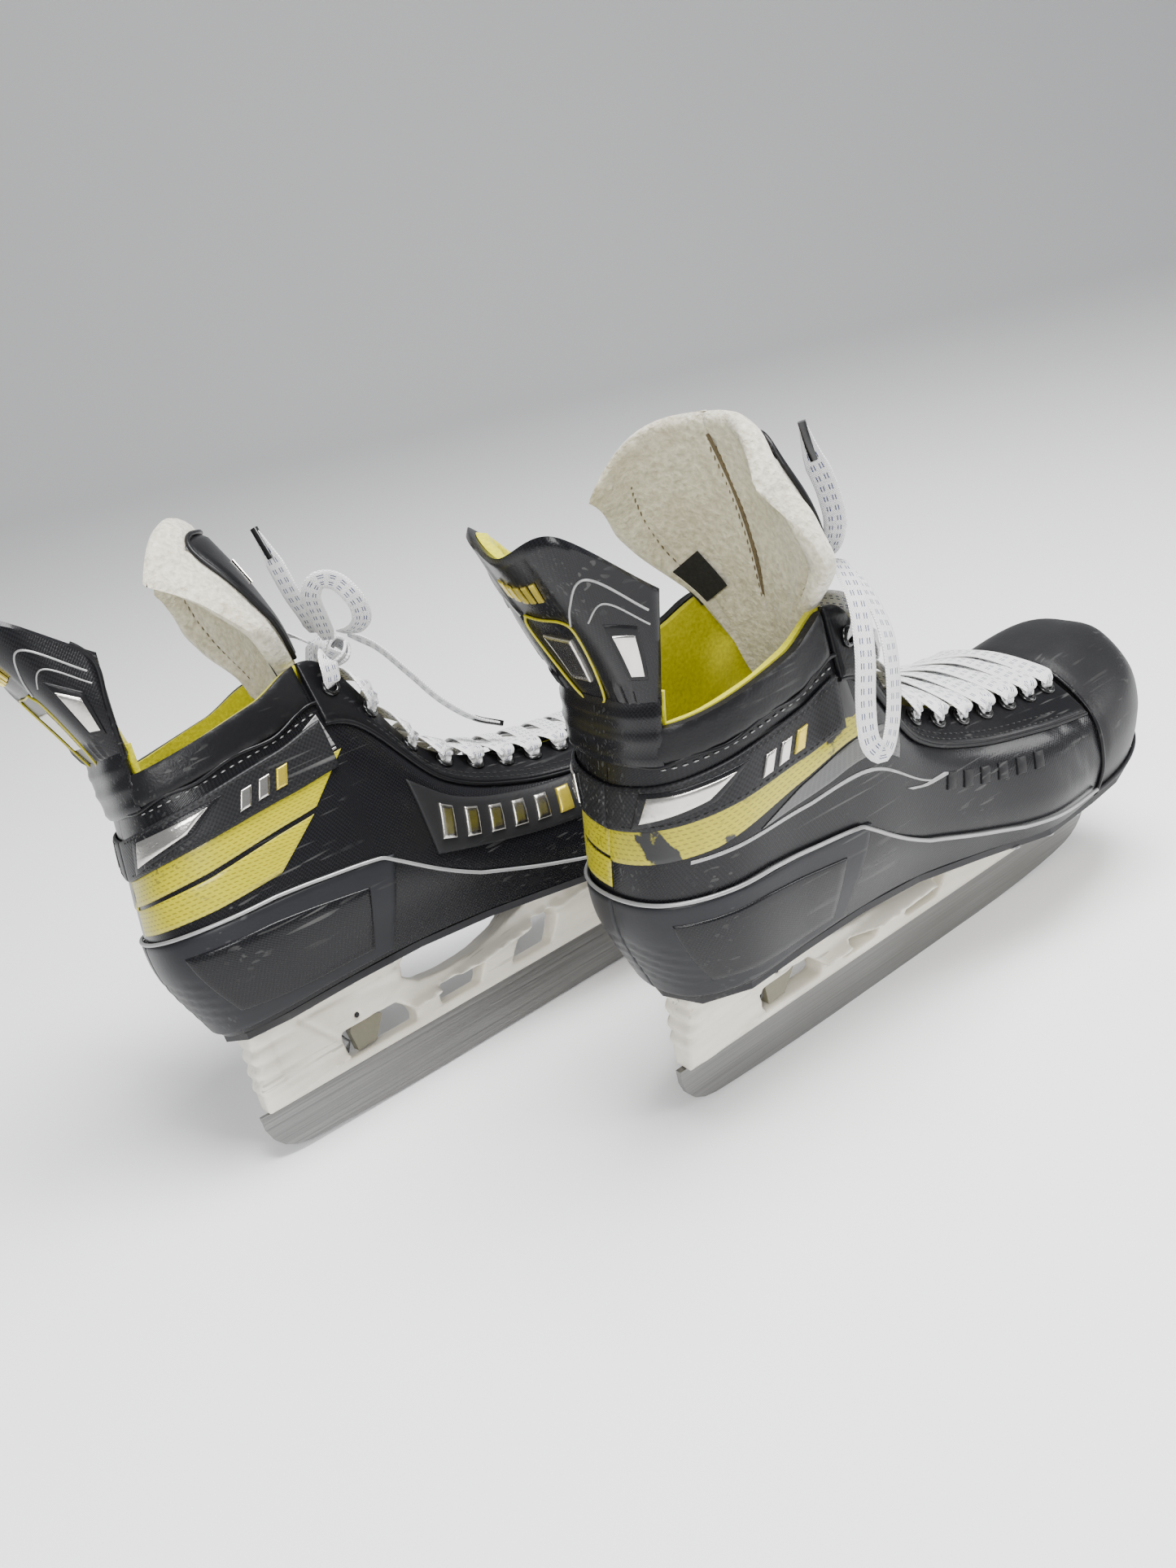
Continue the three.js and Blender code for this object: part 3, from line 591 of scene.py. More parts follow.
def make_steel():
    """Steel brushed along its length, dull and scratched."""
    material, tree, shader = new_material("steel", 0.35, 1.0)
    spot = add(tree, "ShaderNodeTexCoord").outputs["Object"]
    lengthwise = add(tree, "ShaderNodeMapping", {"Vector": spot, "Scale": (12, 12, 1500)}).outputs[0]
    streak = noise(tree, lengthwise, 1.0, 6.0)
    marks = effect(tree, "wear", Amount=0.7)
    base = blend_colour(tree, streak, (0.11, 0.11, 0.11, 1), (0.34, 0.34, 0.33, 1))
    tree.links.new(
        blend_colour(tree, maths(tree, "MULTIPLY", marks[1], 0.6), base, (0.18, 0.17, 0.16, 1)),
        shader.inputs["Base Color"]
    )
    tree.links.new(stretch(tree, streak, -0.4, 1.6), shader.inputs["Roughness"])
    set_bump(tree, shader, maths(tree, "ADD", streak, marks[0]), 0.00008)
    shader.inputs["Anisotropic"].default_value = 0.5
    return material


MATERIALS = {
    "shell": worn(
        "shell", (0.004, 0.004, 0.005), 0.24, wear=0.4, dusty=0.02, threads=60.0, relief=0.00003,
        coat=0.08
    ),
    "toe_cap": worn("toe_cap", (0.011, 0.011, 0.012), 0.42, wear=0.4, dusty=0.04, grain=0.0001),
    "overlay": worn("overlay", (0.014, 0.0145, 0.017), 0.36, wear=0.4, dusty=0.05),
    "strap": worn("strap", (0.008, 0.008, 0.009), 0.4, wear=0.5, dusty=0.03, threads=45.0, relief=0.00008),
    "facing": worn("facing", (0.005, 0.005, 0.006), 0.3, wear=0.4, dusty=0.03, grain=0.0001),
    "collar": worn("collar", (0.006, 0.006, 0.007), 0.34, wear=0.4, dusty=0.03, grain=0.00012),
    "sole": worn("sole", (0.02, 0.02, 0.022), 0.5, wear=0.6),
    "holder": worn(
        "holder", (0.74, 0.7, 0.6), 0.38, wear=0.8, scratch=(0.2, 0.18, 0.15, 1),
        dust=(0.34, 0.3, 0.22, 1), dusty=0.6
    ),
    "trigger": worn("trigger", (0.16, 0.15, 0.1), 0.5),
    "dark_metal": worn("dark_metal", (0.015, 0.015, 0.016), 0.2, metallic=0.6, wear=0.4, coat=0.6),
    "chrome": worn("chrome", (0.62, 0.6, 0.56), 0.16, metallic=1.0, wear=0.7, scratch=(0.1, 0.1, 0.1, 1)),
    "silver": worn("silver", (0.3, 0.3, 0.3), 0.35, metallic=0.5, wear=0.6),
    "gold": worn("gold", (0.62, 0.5, 0.06), 0.25, metallic=0.7, wear=0.5),
    "stripe": make_stripe("stripe", (0.43, 0.38, 0.0), (0.16, 0.14, 0.0, 1)),
    "scuffed_stripe": make_stripe("scuffed_stripe", (0.43, 0.38, 0.0), (0.16, 0.14, 0.0, 1), bare=1.0),
    "dim_hatch": make_stripe("dim_hatch", (0.07, 0.07, 0.07), (0.015, 0.015, 0.015, 1), bare=0.8),
    "hatch": make_stripe("hatch", (0.2, 0.2, 0.2), (0.03, 0.03, 0.03, 1)),
    "felt": make_cloth(
        "felt", (0.7, 0.66, 0.54, 1), (0.42, 0.39, 0.3, 1), stain=(0.36, 0.3, 0.2, 1), fuzz=0.0016,
        scale=420.0
    ),
    "lining": make_cloth("lining", (0.6, 0.57, 0.0, 1), (0.4, 0.37, 0.0, 1), sheen=0.2, fuzz=0.0003),
    "footbed": make_cloth("footbed", (0.07, 0.075, 0.09, 1), (0.03, 0.03, 0.04, 1)),
    "seam": make_cloth("seam", (0.16, 0.12, 0.07, 1), (0.09, 0.07, 0.04, 1), sheen=0.1),
    "label": make_cloth("label", (0.02, 0.02, 0.02, 1), (0.012, 0.012, 0.012, 1), sheen=0.1),
    "lace": make_lace(),
    "steel": make_steel(),
}
print("finishes:", len(MATERIALS))

# %% [markdown]
# ## Laces that hang free
#
# Skate laces are flat cotton tapes. A tape bends easily over its face and hardly at all across its edge, so
# each loop is a strip carried along a line, with its face turned smoothly on the way. The loose ends carry
# an aglet, a sleeve of clear plastic that keeps the tape from fraying.

# %% Loose laces
LOOSE_LACES = {
    "left": {
        "lace_loop_near": [
            (121, -12, 201), (115, -22, 207), (108, -34, 205), (102, -44, 196), (96, -50, 180),
            (91, -52, 162),
            (90, -53, 148), (96, -54, 142), (103, -53, 152), (108, -51, 168), (112, -46, 184),
            (118, -32, 197),
            (125, -15, 203),
        ],
        "lace_loop_far": [
            (122, 12, 202), (118, 26, 210), (116, 38, 210), (116, 47, 199), (118, 51, 184), (123, 52, 172),
            (130, 51, 176), (131, 47, 190), (130, 36, 199), (128, 24, 203), (128, 13, 202),
        ],
        "lace_tail_near": [
            (119, -10, 206), (116, -20, 212), (112, -28, 223), (107, -31, 237), (102, -31, 250),
            (100, -30, 262),
        ],
        "lace_tail_far": [
            (133, 7, 200), (142, 22, 197), (146, 38, 188), (147, 50, 172), (147, 54, 152), (147, 56, 136),
        ],
    },
    "right": {
        "lace_loop_near": [
            (121, -12, 201), (117, -22, 211), (114, -30, 220), (117, -36, 225), (124, -38, 222),
            (129, -38, 212),
            (131, -32, 204), (130, -22, 201), (128, -12, 202),
        ],
        "lace_loop_far": [
            (122, 12, 202), (118, 26, 210), (116, 38, 210), (116, 47, 199), (118, 51, 184), (123, 52, 172),
            (130, 51, 176), (131, 47, 190), (130, 36, 199), (128, 24, 203), (128, 13, 202),
        ],
        "lace_tail_near": [
            (118, -9, 206), (114, -18, 212), (109, -24, 223), (106, -27, 238), (104, -26, 254)
        ],
        "lace_tail_far": [
            (133, -6, 200), (141, -12, 190), (148, -18, 174), (155, -23, 158), (165, -26, 145),
            (177, -28, 137),
        ],
    },
}


def even_route(points, step=2.0):
    """A smooth line through the points, read at even steps in mm."""
    fine = line_at(points, np.linspace(0, 1, 40 * len(points)))
    gone = running_length(fine, 0)
    at = np.linspace(0, gone[-1], max(int(gone[-1] / step), 6) + 1)
    return np.stack([np.interp(at, gone, fine[:, k]) for k in range(3)], -1)


def tape(
    name, side, route, facing, width, thickness=LACE_THICKNESS, material=None, mirror=True, offset_u=0.0
):
    """A flat tape along a route. facing is where its face looks at each point, width one or many values."""
    along = np.gradient(route, axis=0)
    along /= np.linalg.norm(along, axis=1, keepdims=True)
    across = np.cross(along, facing)
    across /= np.linalg.norm(across, axis=1, keepdims=True)
    up = np.cross(across, along)
    width = np.broadcast_to(np.asarray(width, float), len(route))[:, None]
    section = [(-0.5, 0), (-0.46, 0.4), (-0.3, 0.5), (0, 0.5), (0.3, 0.5), (0.46, 0.4),
               (0.5, 0), (0.46, -0.4), (0.3, -0.5), (0, -0.5), (-0.3, -0.5), (-0.46, -0.4)]
    rings = np.stack([route + across * width * a + up * thickness * b for a, b in section], 1)
    count, size = len(route), len(section)
    points = place(np.concatenate([rings.reshape(-1, 3), route[:1], route[-1:]]), side, mirror)
    gone = running_length(route, 0)
    uv = [(offset_u + gone[i] * UV_SCALE, a + 0.5) for i in range(count) for a, _ in section]
    uv += [(0, 0.5), (0, 0.5)]
    faces = []
    for i in range(count - 1):
        for k in range(size):
            a, b = i * size + k, i * size + (k + 1) % size
            faces.append((a, b, b + size, a + size))
    for k in range(size):
        faces.append((k, count * size, (k + 1) % size))
        last = (count - 1) * size
        faces.append((last + k, last + (k + 1) % size, count * size + 1))
    return mesh_object(name, points, faces, material or MATERIALS["lace"], uv)


def carried_facing(route, start):
    """Carries a direction along a route without twisting it."""
    along = np.gradient(route, axis=0)
    along /= np.linalg.norm(along, axis=1, keepdims=True)
    facing = [np.array(start, float)]
    for tangent in along[1:]:
        turned = facing[-1] - tangent * np.dot(facing[-1], tangent)
        facing.append(turned / np.linalg.norm(turned))
    return np.array(facing)


def loose_laces(side):
    for piece, points in LOOSE_LACES[side].items():
        name = f"{side}_{piece}"
        route = even_route(points)
        is_tail = "tail" in piece
        start = (0.5, 0.2, 1) if "near" in piece else (0.6, 0.2, 1)
        facing = carried_facing(route, start)
        width = np.full(len(route), LACE_WIDTH)
        width[:4] = np.linspace(5.5, LACE_WIDTH, 4)
        if is_tail:
            width[-9:] = np.linspace(LACE_WIDTH, 2.6, 9)
        else:
            width[-4:] = np.linspace(LACE_WIDTH, 5.5, 4)
        strip = tape(f"{name}_tape", side, route, facing, width, mirror=False)
        finish_piece(strip, f"{side}_boot", "lace", name)
        if is_tail:
            tip = route[-8:] + (route[-1] - route[-2]) * 0.3
            aglet = tape(
                f"{name}_aglet", side, tip, facing[-8:], 3.0, 2.6, MATERIALS["dark_metal"], mirror=False
            )
            finish_piece(aglet, f"{side}_boot", "dark_metal")
        line = place(route, side, mirror=False)


for side in SIDES:
    loose_laces(side)

# %% [markdown]
# ## Small things that repeat
#
# Eyelets, stitches and rivets are the same shape many times over. A Geometry Nodes tree takes points that
# know which way they face, puts the shape on each, turns it to the surface and makes one real mesh of all.

# %% A tree that repeats a shape on points
def make_repeater():
    tree = bpy.data.node_groups.new("repeat_on_points", "GeometryNodeTree")
    for socket, kind in (
        ("Points", "NodeSocketGeometry"), ("Shape", "NodeSocketObject"),
        ("Material", "NodeSocketMaterial")
    ):
        tree.interface.new_socket(socket, in_out="INPUT", socket_type=kind)
    tree.interface.new_socket("Geometry", in_out="OUTPUT", socket_type="NodeSocketGeometry")
    given, out = tree.nodes.new("NodeGroupInput"), tree.nodes.new("NodeGroupOutput")
    shape = add(tree, "GeometryNodeObjectInfo", {"Object": given.outputs["Shape"]})
    normal = add(
        tree, "GeometryNodeInputNamedAttribute", {"Name": "facing"}, data_type="FLOAT_VECTOR"
    ).outputs[0]
    along = add(
        tree, "GeometryNodeInputNamedAttribute", {"Name": "along"}, data_type="FLOAT_VECTOR"
    ).outputs[0]
    upright = add(tree, "FunctionNodeAlignRotationToVector", {"Vector": normal}, axis="Z")
    turned = add(tree, "FunctionNodeAlignRotationToVector",
                 {"Rotation": upright.outputs[0], "Vector": along}, axis="X", pivot_axis="Z")
    placed = add(tree, "GeometryNodeInstanceOnPoints", {
        "Points": given.outputs["Points"], "Instance": shape.outputs["Geometry"],
        "Rotation": turned.outputs[0]})
    real = add(tree, "GeometryNodeRealizeInstances", {"Geometry": placed.outputs[0]})
    dressed = add(
        tree, "GeometryNodeSetMaterial",
        {"Geometry": real.outputs[0], "Material": given.outputs["Material"]}
    )
    tree.links.new(dressed.outputs[0], out.inputs[0])
    return tree


REPEATER = make_repeater()
SOCKETS = {item.name: item.identifier for item in REPEATER.interface.items_tree if item.in_out == "INPUT"}


def directions(vectors, side):
    turn, _ = PLACES[side]
    local = np.array(vectors, float)
    if side == "left":
        local[:, 1] *= -1
    return local @ turn.T


def repeat(name, side, points, facing, along, shape, material, body=None, slot=None, nodes=()):
    """The shape, a mesh in metres facing +Z, on each point of a skate; facing and along turn it."""
    mesh = bpy.data.meshes.new(name + "_points")
    mesh.from_pydata(place(points, side).tolist(), [], [])
    for label, vectors in (("facing", facing), ("along", along)):
        layer = mesh.attributes.new(label, "FLOAT_VECTOR", "POINT")
        layer.data.foreach_set("vector", directions(vectors, side).ravel())
    holder = bpy.data.objects.new(name + "_points", mesh)
    model = bpy.data.objects.new(name + "_shape", shape)
    for found in (holder, model):
        bpy.context.scene.collection.objects.link(found)
    modifier = holder.modifiers.new("repeat", "NODES")
    modifier.node_group = REPEATER
    modifier[SOCKETS["Shape"]] = model
    modifier[SOCKETS["Material"]] = material
    evaluated = holder.evaluated_get(bpy.context.evaluated_depsgraph_get())
    made = bpy.data.meshes.new_from_object(evaluated)
    made.name = name
    piece = bpy.data.objects.new(name, made)
    bpy.context.scene.collection.objects.link(piece)
    for found in (holder, model):
        bpy.data.objects.remove(found)
    made.polygons.foreach_set("use_smooth", [True] * len(made.polygons))
    print(name, "repeats", len(points), "faces", len(made.polygons))
    return finish_piece(piece, body or f"{side}_boot", slot, *nodes) if slot else piece


def lathe(name, profile, turns=16):
    """A closed ring or dome turned about Z, from (radius, height) points in mm."""
    points, faces = [], []
    for k in range(turns):
        a = 2 * math.pi * k / turns
        points += [(r * math.cos(a) * 0.001, r * math.sin(a) * 0.001, z * 0.001) for r, z in profile]
    size = len(profile)
    for k in range(turns):
        for j in range(size):
            a, b = k * size + j, k * size + (j + 1) % size
            c, d = (k + 1) % turns * size + (j + 1) % size, (k + 1) % turns * size + j
            faces.append((a, d, c, b))
    mesh = bpy.data.meshes.new(name)
    mesh.from_pydata(points, [], faces)
    work = bmesh.new()
    work.from_mesh(mesh)
    bmesh.ops.remove_doubles(work, verts=work.verts, dist=1e-6)
    bmesh.ops.dissolve_degenerate(work, edges=work.edges, dist=1e-7)
    bmesh.ops.recalc_face_normals(work, faces=work.faces)
    work.to_mesh(mesh)
    work.free()
    return mesh


def stitch_shape(length=2.6, width=0.75, height=0.5):
    """One stitch: a short rounded length of thread."""
    work = bmesh.new()
    bmesh.ops.create_icosphere(work, subdivisions=1, radius=0.0005)
    bmesh.ops.scale(work, vec=(length, width, height), verts=work.verts)
    mesh = bpy.data.meshes.new("stitch")
    work.to_mesh(mesh)
    work.free()
    return mesh


def stitches(name, side, rows, material, body=None, slot="facing", pitch=3.4):
    """Stitches along rows of (points, facing), each an array in a skate's own millimetres."""
    found = []
    for points, facing in rows:
        gone = running_length(points, 0)
        at = np.arange(pitch / 2, gone[-1], pitch)
        read = lambda values: np.stack([np.interp(at, gone, values[:, k]) for k in range(3)], -1)
        found.append((read(points), read(facing), read(np.gradient(points, axis=0))))
    points, facing, along = (np.concatenate(part) for part in zip(*found))
    return repeat(name, side, points, facing, along, stitch_shape(), material, body, slot)


def boot_line(flank, path, offset, steps=60):
    """A line on the boot through (rib, height) points, with the surface's direction along it."""
    path = np.array(path, float)
    share = np.linspace(0, 1, steps)
    at = np.linspace(0, 1, len(path))
    rib = flank_rib(np.interp(share, at, path[:, 0]), flank)
    height = np.interp(share, at, path[:, 1])
    return on_boot(rib, height, np.full(steps, float(offset))), boot_normal(rib, height)


def pipe(name, side, route, radius, material, sides=10, mirror=True):
    """A round closed cord along a route, in a skate's own millimetres."""
    facing = carried_facing(route, (0.1, 0.2, 1))
    along = np.gradient(route, axis=0)
    along /= np.linalg.norm(along, axis=1, keepdims=True)
    across = np.cross(along, facing)
    across /= np.linalg.norm(across, axis=1, keepdims=True)
    up = np.cross(across, along)
    angles = 2 * math.pi * np.arange(sides) / sides
    rings = np.stack([route + radius * (across * math.cos(a) + up * math.sin(a)) for a in angles], 1)
    points = place(np.concatenate([rings.reshape(-1, 3), route[:1], route[-1:]]), side, mirror)
    count = len(route)
    gone = running_length(route, 0)
    uv = [(gone[i] * UV_SCALE, k / sides) for i in range(count) for k in range(sides)] + [(0, 0), (0, 0)]
    faces = [(
        i * sides + k, i * sides + (k + 1) % sides, (i + 1) * sides + (k + 1) % sides, (i + 1) * sides + k
    )
             for i in range(count - 1) for k in range(sides)]
    last = (count - 1) * sides
    faces += [(k, count * sides, (k + 1) % sides) for k in range(sides)]
    faces += [(last + k, last + (k + 1) % sides, count * sides + 1) for k in range(sides)]
    return mesh_object(name, points, faces, material, uv)


# %% [markdown]
# ## Quarters
#
# The quarters are the two stiff halves of the boot, moulded from composite and joined at the heel. They
# take most of the knocks: near the toe the skin has creased, and the whole surface is scratched.

# %% Quarters
COLLAR_FROM, COLLAR_TO = 4.25, 7.1
SHELL = 2.0


def quarter_top(rib):
    under_pad = smoothstep(rib, COLLAR_FROM, COLLAR_FROM + 0.15) * (
        1 - smoothstep(rib, COLLAR_TO - 0.2, COLLAR_TO)
    )
    return mix(1, 0.88, under_pad)


def quarter(side, flank):
    rib = np.linspace(0, HEEL - 0.008, 97)[:, None]
    share = np.linspace(0, 1, 41)[None]
    height = quarter_top(rib) * share
    creases = np.sin(9 * rib + 14 * height) * np.sin(23 * rib - 5 * height)
    offset = 0.35 * creases * smoothstep(1.3 - rib, 0, 1) * smoothstep(height, 0.1, 0.4) - 0.2
    outer = on_boot(flank_rib(rib, flank), height, offset)
    inner = on_boot(flank_rib(rib, flank), height, np.full_like(offset, -SHELL))
    name = f"{side}_quarter_{flank}"
    piece = wall(name + "_shell", side, outer, inner, MATERIALS["shell"])
    finish_piece(piece, f"{side}_boot", "shell", name)


for side in SIDES:
    for flank in FLANKS:
        quarter(side, flank)

# %% [markdown]
# ## Film, counter and strap
#
# On top of the shell sit printed films and moulded overlays. Each is only a few tenths of a millimetre to
# two millimetres thick, but its rounded edge catches the light, and that edge is what makes it read as a
# separate layer.

# %% Printed bands
BANDS = {
    "lateral": [
        (
            "band_upper", "stripe", [(8, 0.545), (6.2, 0.565), (4.75, 0.6)],
            [(8, 0.635), (6.2, 0.66), (4.25, 0.72)]
        ),
        (
            "band_lower", "stripe", [(8, 0.45), (6.2, 0.46), (5.35, 0.475)],
            [(8, 0.535), (6.2, 0.55), (4.8, 0.585)]
        ),
        (
            "hatch_upper", "hatch", [(7.6, 0.645), (6, 0.68), (4.3, 0.735)],
            [(7.5, 0.66), (6, 0.7), (4.35, 0.84)]
        ),
        (
            "line_upper", "silver", [(7.9, 0.638), (6, 0.668), (4.3, 0.724)],
            [(7.9, 0.643), (6, 0.674), (4.3, 0.731)]
        ),
    ],
    "medial": [
        (
            "band", "scuffed_stripe", [(8, 0.53), (6.2, 0.55), (4.1, 0.64)],
            [(8, 0.63), (6.2, 0.675), (4.2, 0.82)]
        ),
        (
            "hatch", "dim_hatch", [(5.6, 0.54), (4.6, 0.555), (3.5, 0.6)],
            [(5.0, 0.59), (4.0, 0.64), (3.35, 0.74)]
        ),
        (
            "line_front", "silver", [(6.6, 0.525), (4.9, 0.525), (2.9, 0.55)],
            [(6.6, 0.535), (4.9, 0.535), (2.9, 0.56)]
        ),
        (
            "line_tip", "silver", [(3.4, 0.5), (3.1, 0.53), (2.7, 0.6)],
            [(3.3, 0.5), (3.0, 0.53), (2.55, 0.6)]
        ),
    ],
}
for side in SIDES:
    for flank in FLANKS:
        for label, finish, low, high in BANDS[flank]:
            film = patch(
                f"{side}_{flank}_{label}", side, flank, low, high, 0.02, 0.34, MATERIALS[finish],
                edge=0.3, step=2.5
            )
            finish_piece(film, f"{side}_boot", "stripe" if "stripe" in finish else "trim")

# %% Heel counter with moulded ribs, and the piping over it
COUNTER_TOP = 0.42


def heel_counter(side):
    parts = []
    for flank in FLANKS:
        def ribs(rib, height, full):
            ridge = np.abs(np.sin(math.pi * (height * 22 + np.abs(8 - rib) * 1.2)))
            rear = smoothstep(rib, 6.3, 7.2)
            rear = rear * smoothstep(0.3 - height, 0, 0.05) * smoothstep(height, 0.06, 0.1)
            return -0.7 * full * rear * (1 - ridge ** 0.5)
        front = [(4.35, 0.02), (4.05, 0.40)]
        low = [(8, 0.02), (6, 0.02), front[0]]
        high = [(8, COUNTER_TOP), (6, COUNTER_TOP), front[1]]
        parts.append(patch(f"{side}_counter_{flank}", side, flank, low, high, 0.3, 1.7,
                           MATERIALS["overlay"],
                           edge=1.2, step=1.5, shape=ribs))
        raised = patch(f"{side}_counter_panel_{flank}", side, flank, [(6.6, 0.1), (5.4, 0.07), (4.6, 0.07)],
                       [(6.9, 0.36), (5.6, 0.36), (4.45, 0.33)], 1.5, 2.5, MATERIALS["shell"], edge=1.0)
        parts.append(raised)
    finish_piece(
        merged(parts, f"{side}_heel_counter_skin"), f"{side}_boot", "overlay", f"{side}_heel_counter"
    )


def piping(side):
    lateral = [(0.06, 0.1), (1.5, 0.13), (3, 0.24), (4.2, 0.4), (5.5, 0.425), (8, 0.425)]
    one, _ = boot_line("lateral", lateral, 1.4, 140)
    two, _ = boot_line("medial", lateral, 1.4, 140)
    route = np.concatenate([one, two[::-1][1:]])
    cord = pipe(f"{side}_piping", side, route, 0.85, MATERIALS["silver"])
    finish_piece(cord, f"{side}_boot", "trim")


for side in SIDES:
    heel_counter(side)
    piping(side)

# %% Ankle strap, its bright insert and a plain badge
def strap_middle(rib):
    return 0.7 + 0.045 * abs(rib - HEEL) / 3.8


def ankle_strap(side):
    straps = []
    for flank in FLANKS:
        ends = (8, 7, 6, 5, 4.36)
        low = [(r, strap_middle(r) - 0.07) for r in ends]
        high = [(r, strap_middle(r) + 0.08) for r in ends]
        straps.append(
            patch(
                f"{side}_strap_{flank}", side, flank, low, high, 0.75, 1.9, MATERIALS["strap"], edge=0.9
            )
        )
    finish_piece(
        merged(straps, f"{side}_ankle_strap_cloth"), f"{side}_boot", "woven_strap", f"{side}_ankle_strap"
    )
    rows = []
    for flank in FLANKS:
        for shift in (-0.055, 0.065):
            rows.append(boot_line(flank, [(r, strap_middle(r) + shift) for r in (7.7, 6, 4.45)], 1.95))
    stitches(f"{side}_strap_stitches", side, rows, MATERIALS["label"], slot="woven_strap")
    for flank in FLANKS:
        setting = patch(f"{side}_insert_frame_{flank}", side, flank, [(7.5, 0.645), (6.25, 0.69)],
                       [(7.35, 0.77), (5.75, 0.775)], 1.7, 2.3, MATERIALS["shell"], edge=0.5)
        bright = patch(f"{side}_insert_{flank}", side, flank, [(7.36, 0.665), (6.35, 0.705)],
                       [(7.22, 0.755), (5.95, 0.76)], 2.1, 2.9, MATERIALS["chrome"], edge=0.7)
        finish_piece(merged([setting, bright], f"{side}_strap_insert_{flank}"), f"{side}_boot", "trim")
        bars = []
        for k, finish in enumerate(("chrome", "chrome", "gold")):
            start = 5.62 - 0.24 * k
            bars.append(patch(f"{side}_badge_{k}_{flank}", side, flank,
                              [(start, 0.69 + 0.004 * k), (start - 0.15, 0.692 + 0.004 * k)],
                              [(start - 0.08, 0.755 + 0.004 * k), (start - 0.23, 0.757 + 0.004 * k)],
                              1.8, 2.7, MATERIALS[finish], edge=0.5, step=1.0))
        finish_piece(merged(bars, f"{side}_strap_badge_{flank}"), f"{side}_boot", "trim")


for side in SIDES:
    ankle_strap(side)

# %% Plaque on the outer flank: a black frame round slanted bright bars
PLAQUE_BARS = 6


def plaque(side):
    """A raised frame with bars on the lateral side, and plain raised marks on the medial side."""
    low, high = [(3.5, 0.37), (1.35, 0.42)], [(3.62, 0.64), (1.3, 0.7)]
    backing = MATERIALS["toe_cap"]
    parts = [patch(f"{side}_plaque_frame", side, "lateral", low, high, 0.1, 1.3, backing, edge=1.4)]
    for k in range(PLAQUE_BARS):
        rib = 3.4 - 0.33 * k
        foot, head = 0.43 + 0.009 * k, 0.585 + 0.009 * k
        low = [(rib, foot), (rib - 0.2, foot + 0.008)]
        high = [(rib - 0.09, head), (rib - 0.28, head + 0.008)]
        metal = MATERIALS["gold" if k == PLAQUE_BARS - 1 else "chrome"]
        name = f"{side}_plaque_bar_{k}"
        parts.append(patch(name, side, "lateral", low, high, 1.2, 2.6, metal, edge=0.8, step=1.5))
    finish_piece(merged(parts, f"{side}_plaque"), f"{side}_boot", "trim")
    marks = []
    for k in range(PLAQUE_BARS):
        back = 0.28 * k
        low, high = [(2.7 - back, 0.5), (2.56 - back, 0.503)], [(2.64 - back, 0.6), (2.5 - back, 0.603)]
        name = f"{side}_medial_bar_{k}"
        marks.append(patch(name, side, "medial", low, high, 0.05, 0.7, backing, edge=0.5))
    finish_piece(merged(marks, f"{side}_medial_marks"), f"{side}_boot", "overlay")


for side in SIDES:
    plaque(side)

# %% [markdown]
# ## Facings, eyelets and the crossed lace
#
# The facings carry the pull of the laces, so they are a second layer of leatherette, turned at the edge and
# sewn twice. Every eyelet is a rolled brass ring under black enamel. The lace comes up through the rings,
# gathers to half its width in them and lies flat where it crosses the tongue.

# %% Facings
FACING_TO = 4.2
EYELET_HEIGHT = 0.91
LACE_LIFT = 5.7


def facing_low(rib):
    return 0.68 + 0.12 * rib / FACING_TO


def facings(side, flank):
    ribs = np.linspace(0.05, FACING_TO + 0.1, 9)
    sheet = patch(f"{side}_facing_{flank}_leather", side, flank, [(r, facing_low(r)) for r in ribs],
                  [(r, 1.0) for r in ribs], 0.35, 2.1, MATERIALS["facing"], edge=1.3, step=2.0)
    finish_piece(sheet, f"{side}_boot", "facing", f"{side}_facing_{flank}")
    inside = ribs[1:-1]
    rows = [boot_line(flank, [(r, facing_low(r) + shift) for r in inside], 2.15) for shift in (0.035, 0.07)]
    stitches(f"{side}_facing_stitches_{flank}", side, rows, MATERIALS["label"])
    edge, _ = boot_line(flank, [(r, facing_low(r)) for r in ribs], 0.7, 90)
    welt = pipe(f"{side}_facing_welt_{flank}", side, edge, 1.0, MATERIALS["collar"])
    finish_piece(welt, f"{side}_boot", "facing")


def eyelet_rib(number):
    return 0.3 + number * 3.72 / (EYELETS - 1)


def eyelets(side, flank):
    ring = lathe(
        "ring", [(2.3, -0.9), (2.2, 0.6), (2.6, 1.25), (3.3, 1.35), (4.1, 0.9), (4.4, 0.0), (3.2, -0.2)],
        20
    )
    rib = flank_rib(np.array([eyelet_rib(k) for k in range(EYELETS)]), flank)
    height = np.full(EYELETS, EYELET_HEIGHT)
    facing, along = boot_normal(rib, height), boot_at(rib + 0.05, height) - boot_at(rib, height)
    repeat(f"{side}_eyelet_rings_{flank}", side, on_boot(
        rib, height, np.full(EYELETS, 2.2)
    ), facing, along, ring,
           MATERIALS["dark_metal"], slot="dark_metal", nodes=(f"{side}_eyelets_{flank}",))


for side in SIDES:
    for flank in FLANKS:
        facings(side, flank)
        eyelets(side, flank)

# %% The lace through the eyelets
def lace_stop(flank, number, height, lift):
    rib = np.array([flank_rib(eyelet_rib(number), flank)])
    at = np.array([height])
    return on_boot(rib, at, np.array([lift]))[0], boot_normal(rib, at)[0]


